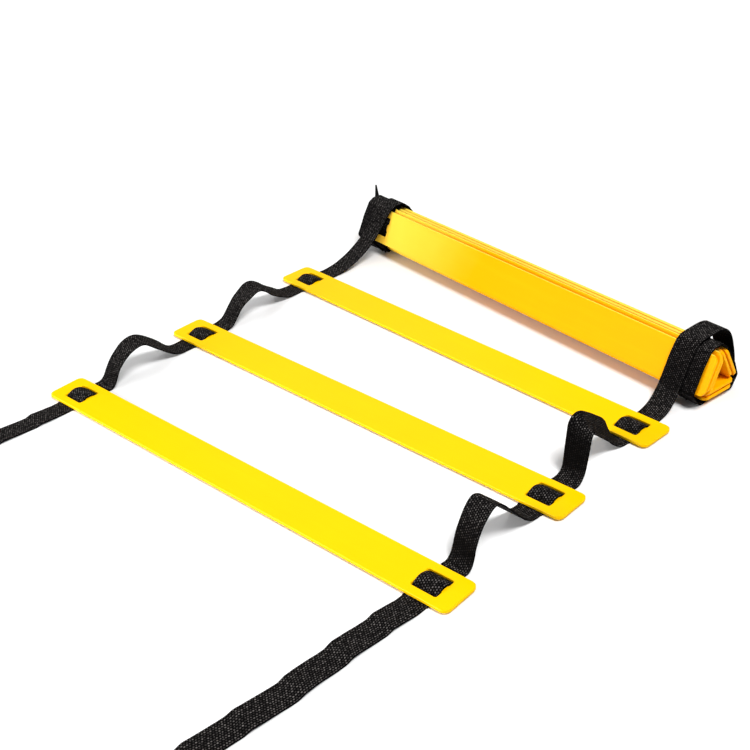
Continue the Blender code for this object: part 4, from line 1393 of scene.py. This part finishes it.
@dataclass
class Webbing:
    """One stretch of webbing with rounded selvedges, woven skin and soft unevenness."""

    name: str
    route: Route
    material: bpy.types.Material
    start_along: float = 0.0
    cup: float = 0.0
    wave: float = 0.0
    fill: float = 1.0
    pillow: float = 0.0
    crease: float = 0.0
    crease_pitch: float = 0.046
    taper: tuple[float, float] | None = None

    def section(self) -> list[tuple[float, float]]:
        """The strap's closed cross-section: across, up.

        Returns:
            The corners in order.
        """
        half, thick, round_off = STRAP.width / 2, HALF_BAND, STRAP.selvedge
        top = [(-half + round_off + (STRAP.width - 2 * round_off) * i / FLATS, thick)
               for i in range(FLATS + 1)]
        side = [(half - round_off + round_off * math.sin(a), thick * math.cos(a))
                for a in (math.radians(x) for x in (45, 90, 135))]
        return (top + side + [(x, -y) for x, y in reversed(top)]
                + [(-x, y) for x, y in reversed(side)])

    def build(self) -> bpy.types.Object:
        """Sweep the section along the route.

        Returns:
            The band's object.
        """
        loop = self.section()
        stations, ring = len(self.route.centres) - 1, len(loop)
        lengths = [0.0]
        for a, b in zip(self.route.centres, self.route.centres[1:]):
            lengths.append(lengths[-1] + (b - a).length)
        work = bmesh.new()
        bmesh.ops.create_grid(work, x_segments=stations, y_segments=ring, size=1.0)
        uv = work.loops.layers.uv.new("webbing")
        spots = {}
        for vertex in work.verts:
            i = int(round((vertex.co.x + 1) / 2 * stations))
            j = int(round((vertex.co.y + 1) / 2 * ring))
            across, up = loop[j % ring]
            spots[vertex.index] = (i, across)
            vertex.co = self.point(i, across, up, lengths)
        work.verts.ensure_lookup_table()
        for face in work.faces:
            for corner in face.loops:
                i, across = spots[corner.vert.index]
                corner[uv].uv = (across, self.start_along + lengths[i])
        bmesh.ops.remove_doubles(work, verts=work.verts, dist=STRAP.thick / 40)
        rims = [edge for edge in work.edges if edge.is_boundary]
        made = bmesh.ops.holes_fill(work, edges=rims, sides=0)
        for edge in rims:
            edge.smooth = False
        for face in work.faces:
            face.smooth = True
        for face in made["faces"]:
            face.smooth = False
            for corner in face.loops:
                corner[uv].uv = (corner.vert.co.x, corner.vert.co.z)
        bmesh.ops.recalc_face_normals(work, faces=work.faces)
        return put_mesh(self.name, work, self.material)

    def point(self, index: int, across: float, up: float, lengths: list[float]) -> Vector:
        """Place one point of the section at one station of the route.

        Args:
            index: the station.
            across: distance from the strap's middle.
            up: height over its middle.
            lengths: length of the route up to each station.

        Returns:
            The point's place.
        """
        centres = self.route.centres
        width = self.route.across[index].normalized()
        last = len(centres) - 1
        ahead = centres[index + 1] if index < last else (self.route.trail or centres[last])
        behind = centres[index - 1] if index else (self.route.lead or centres[0])
        tangent = (ahead - behind).normalized()
        width = (width - tangent * width.dot(tangent)).normalized()
        normal = width.cross(tangent).normalized()
        ease = min(1.0, lengths[index] / EASE, (lengths[-1] - lengths[index]) / EASE)
        share = across / (STRAP.width / 2)
        bow = self.cup * ease * (1.0 - share * share)
        along = self.start_along + lengths[index]
        bow += self.wave * ease * (math.sin(along * RIPPLES[0] + share * 1.3)
                                   + FINE_RIPPLE * math.sin(along * RIPPLES[1] - share * 2.1))
        drift = FOLD_DRIFT[0] * math.sin(along * FOLD_DRIFT[1])
        turn = (along / self.crease_pitch + drift) % 1.0
        rising = turn < FOLD_PEAK
        fold = (turn / FOLD_PEAK) ** FOLD_RISE if rising else (1.0 - turn) / (1.0 - FOLD_PEAK)
        bow += self.crease * ease * fold
        bow += (self.pillow * math.sin(math.pi * lengths[index] / lengths[-1]) ** 4
                * (1.0 - share ** 4))
        narrow = self.fill
        if self.taper:
            tip, reach = self.taper
            narrow *= min(1.0, tip + (1.0 - tip) * (lengths[-1] - lengths[index]) / reach)
        return centres[index] + width * across * narrow + normal * (up + bow)


# sub-assemblies
# where a stretch's weave starts, how uneven the stretches are, and how full a pass is
WEAVE_SHIFT = 0.3
RAMP_WEAVE_SHIFT = 0.1
RIPPLE = 0.00004
ROLL_RIPPLE = 0.00003
TAIL_FORM = {"cup": -0.0002, "wave": 0.00003, "crease": -0.0016, "crease_pitch": 0.034}
PASS_FILL = 1.045
HORN_TAPER = (0.12, 0.022)


def stand_for(piece: bpy.types.Object, node: str) -> None:
    """Let a strap piece stand for its plain solid, and report it.

    Args:
        piece: the strap piece.
        node: the solid's name.
    """
    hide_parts(node)
    LOG.info("made %s, %d faces", piece.name, len(piece.data.polygons))


@dataclass
class Placing:
    """Carries routes from the ladder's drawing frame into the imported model's frame."""

    origin: Vector

    @classmethod
    def from_model(cls) -> Placing:
        """The first slat's middle is the drawing frame's origin."""
        low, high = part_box("rung_1")
        return cls(Vector(((low[0] + high[0]) / 2, (low[1] + high[1]) / 2, 0.0)))

    @property
    def matrix(self) -> Matrix:
        """Drawing frame to model frame."""
        return Matrix.Translation(self.origin)

    def fine(self, route: Route, step: float = STRAP.fine_step, passes: int = 2) -> Route:
        """A route in the model's frame, with finer and softer points."""
        return route.moved(self.matrix).fine(step, passes)


@dataclass
class CameraRig:
    """The photograph's viewpoint."""

    place: Placing
    azimuth: float = 45.09
    elevation: float = 31.0
    roll: float = -5.0
    distance: float = 0.955
    target: tuple[float, ...] = (-0.015, 0.170, 0.0)
    focal_pixels: float = 1149.8
    frame_pixels: float = 750.0
    sensor: float = 36.0
    nearest: float = 0.01

    def build(self) -> None:
        """Make the camera and set it on the scene."""
        turn, rise, tilt = (math.radians(v) for v in (self.azimuth, self.elevation, self.roll))
        level = Vector((math.sin(turn), -math.cos(turn), 0.0))
        back = level * math.cos(rise) + Vector((0.0, 0.0, math.sin(rise)))
        right = Vector((0, 0, 1)).cross(back).normalized()
        up = back.cross(right)
        axes = (right * math.cos(tilt) + up * math.sin(tilt),
                up * math.cos(tilt) - right * math.sin(tilt), back)
        spot = self.place.origin + Vector(self.target) + back * self.distance
        frame = Matrix(axes).transposed().to_4x4()
        data = bpy.data.cameras.new("photo_view")
        data.sensor_width = self.sensor
        data.lens = self.sensor * self.focal_pixels / self.frame_pixels
        data.clip_start = self.nearest
        camera = put("photo_view", data)
        camera.matrix_world = Matrix.Translation(spot) @ frame
        bpy.context.scene.camera = camera


@dataclass
class Studio:
    """Plain pale floor and soft light."""

    floor_size: float = 12.0
    world: float = 0.17
    lamp_size: float = 0.9
    lamps: tuple[tuple[str, tuple[float, ...], float], ...] = (
        ("key", (1.15, -0.15, 2.35), 72.0),
        ("front", (-0.50, -1.10, 0.24), 20.0),
        ("rim", (-0.95, 0.95, 0.80), 4.0),
    )

    def build(self) -> None:
        """Make the floor, the world and the lamps."""
        work = bmesh.new()
        bmesh.ops.create_grid(work, x_segments=1, y_segments=1, size=self.floor_size / 2)
        floor = put_mesh("studio_floor", work, FloorFinish().make("studio_floor"))
        # white to the camera and through clear things, dim as a light
        pen = NodePen(bpy.data.worlds.new("studio"), "Background")
        path = pen.add("ShaderNodeLightPath").outputs
        seen = pen.math("MAXIMUM", path["Is Camera Ray"], path["Is Transmission Ray"])
        level = pen.plus(pen.times(seen, 1.0 - self.world), self.world)
        bpy.context.scene.world = pen.finish({"Color": WHITE, "Strength": level})
        for name, place, power in self.lamps:
            self.lamp(name, Vector(place), power)
        bpy.context.scene.view_settings.view_transform = "Standard"

    def lamp(self, name: str, spot: Vector, power: float) -> None:
        """One soft square lamp that looks at the object.

        Args:
            name: the lamp's name.
            spot: where it stands.
            power: its power in watts.
        """
        data = bpy.data.lights.new(name, "AREA")
        data.energy = power
        data.size = self.lamp_size
        turn = spot.to_track_quat("Z", "Y").to_matrix().to_4x4()
        put(name, data).matrix_world = Matrix.Translation(spot) @ turn


@dataclass
class LaidLadder:
    """Straps of the laid part: windows, humps and free tails."""

    place: Placing
    webbing: bpy.types.Material
    routes: LaidRoutes = field(default_factory=LaidRoutes)

    def build_tails(self) -> None:
        """The free tails on the floor."""
        for side in Side:
            fine = self.place.fine(self.routes.tail(side))
            piece = Webbing(f"tail_{side.word}", fine, self.webbing, **TAIL_FORM).build()
            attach(piece, "laid_1")
            stand_for(piece, f"strap_tail_{side.word}")
            fine.length

    def build_windows(self) -> None:
        """The strap through each laid slat's windows."""
        for index in (1, 2, 3):
            for side in Side:
                route = self.place.fine(self.routes.window(side, index), STRAP.window_step, 3)
                piece = Webbing(f"window_{side.word}_{index}", route, self.webbing,
                                start_along=WEAVE_SHIFT * index, fill=PASS_FILL,
                                pillow=STRAP.pass_crown).build()
                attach(piece, f"laid_{index}")
                stand_for(piece, f"strap_pass_{side.word}_{index}")

    def build_humps(self) -> None:
        """Each hump in two halves, split at its highest point."""
        for (side, first) in HUMP_SHARES:
            route = self.place.fine(self.routes.hump(side, first), passes=3)
            crest = max(range(len(route.centres)), key=lambda i: route.centres[i].z)
            halves = route.split(crest / (len(route.centres) - 1))
            bodies = (f"laid_{first}", f"laid_{first + 1}")
            for half, body, word in zip(halves, bodies, ("near", "far")):
                piece = Webbing(f"hump_{side.word}_{first}{first + 1}_{word}", half, self.webbing,
                                start_along=WEAVE_SHIFT * first, wave=RIPPLE).build()
                stand_for(piece, f"strap_hump_{side.word}_{first}{first + 1}")
                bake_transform(piece)


@dataclass
class RolledBundle:
    """Straps in and round the rolled slats."""

    place: Placing
    webbing: bpy.types.Material
    laid: LaidRoutes = field(default_factory=LaidRoutes)
    routes: RollRoutes = field(default_factory=RollRoutes)

    def add(self, name: str, route: Route, node: str, step: float, **looks: object) -> None:
        """Make one piece that rides on the bundle and stands for a node.

        Args:
            name: the piece's name.
            route: its route in the drawing frame.
            node: the solid that it stands for.
            step: distance between its stations.
            looks: unevenness, as in Webbing.
        """
        fine = self.place.fine(route, step, 1)
        piece = Webbing(name, fine, self.webbing, **looks).build()
        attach(piece, "bundle")
        stand_for(piece, node)

    def build(self) -> None:
        """Make the threaded straps, windings, ramps and far ends."""
        windings = self.routes.windings()
        for side in Side:
            section, places = windings[side]
            self.add(f"threaded_{side.word}", self.routes.threaded(side),
                     f"strap_roll_{side.word}", STRAP.roll_step)
            self.add(f"winding_{side.word}", self.routes.section_route(section, places),
                     f"strap_winding_{side.word}", STRAP.roll_step, wave=ROLL_RIPPLE)
            self.build_ramp(side, section, places)
        self.add("far_end_right", self.routes.curl(), "strap_end_right", STRAP.curl_step)
        self.add("far_end_left", self.routes.horn(), "strap_end_left", STRAP.horn_step,
                 taper=HORN_TAPER)

    def build_ramp(self, side: Side, section: Section, places: list[float]) -> None:
        """The strap between the last laid slat and the bundle.

        Args:
            side: which end of the slats.
            section: the winding's points.
            places: their places along the bundle.
        """
        fine = self.place.fine(self.routes.ramp(side, self.laid, section, places))
        piece = Webbing(f"ramp_{side.word}", fine, self.webbing, start_along=RAMP_WEAVE_SHIFT,
                        wave=RIPPLE).build()
        stand_for(piece, f"strap_ramp_{side.word}")
        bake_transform(piece)


@dataclass
class Slats:
    """The ten slats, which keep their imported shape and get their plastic."""

    place: Placing
    laid_plastic: SlatPlastic = field(default_factory=SlatPlastic)
    # the rolled slats are the same part as the laid ones: their deeper orange is painted shade,
    # and their paler left end is a painted highlight
    rolled_plastic: SlatPlastic = SlatPlastic(
        base=(1.0, 0.415, 0.0, 1.0), deep=(1.0, 0.375, 0.0, 1.0), faded=0.55)

    def dress(self, nodes: dict[str, bpy.types.Object]) -> None:
        """Give every slat a material that runs along it.

        Args:
            nodes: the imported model's objects by name.
        """
        laid, rolled = LaidRoutes(), RollRoutes()
        for index in range(1, 11):
            if index < 4:
                local, plastic = laid.place(index), self.laid_plastic
            else:
                local = rolled.matrix @ rolled.slat_matrix(index)
                plastic = self.rolled_plastic
            material = plastic.make(f"slat_plastic_{index}", self.place.matrix @ local)
            node = nodes[f"rung_{index}"]
            node.data.materials.clear()
            node.data.materials.append(material)
            LOG.info("dressed %s", node.name)


# main
def main() -> None:
    """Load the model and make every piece."""
    logging.basicConfig(level=logging.INFO, format="%(message)s")
    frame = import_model()
    place = Placing.from_model()
    CameraRig(place).build()
    webbing = BlackWebbing().make("strap_webbing")
    laid = LaidLadder(place, webbing)
    laid.build_tails()
    laid.build_windows()
    laid.build_humps()
    RolledBundle(place, webbing).build()
    Slats(place).dress(frame["nodes"])
    Studio().build()


if __name__ == "__main__":
    main()
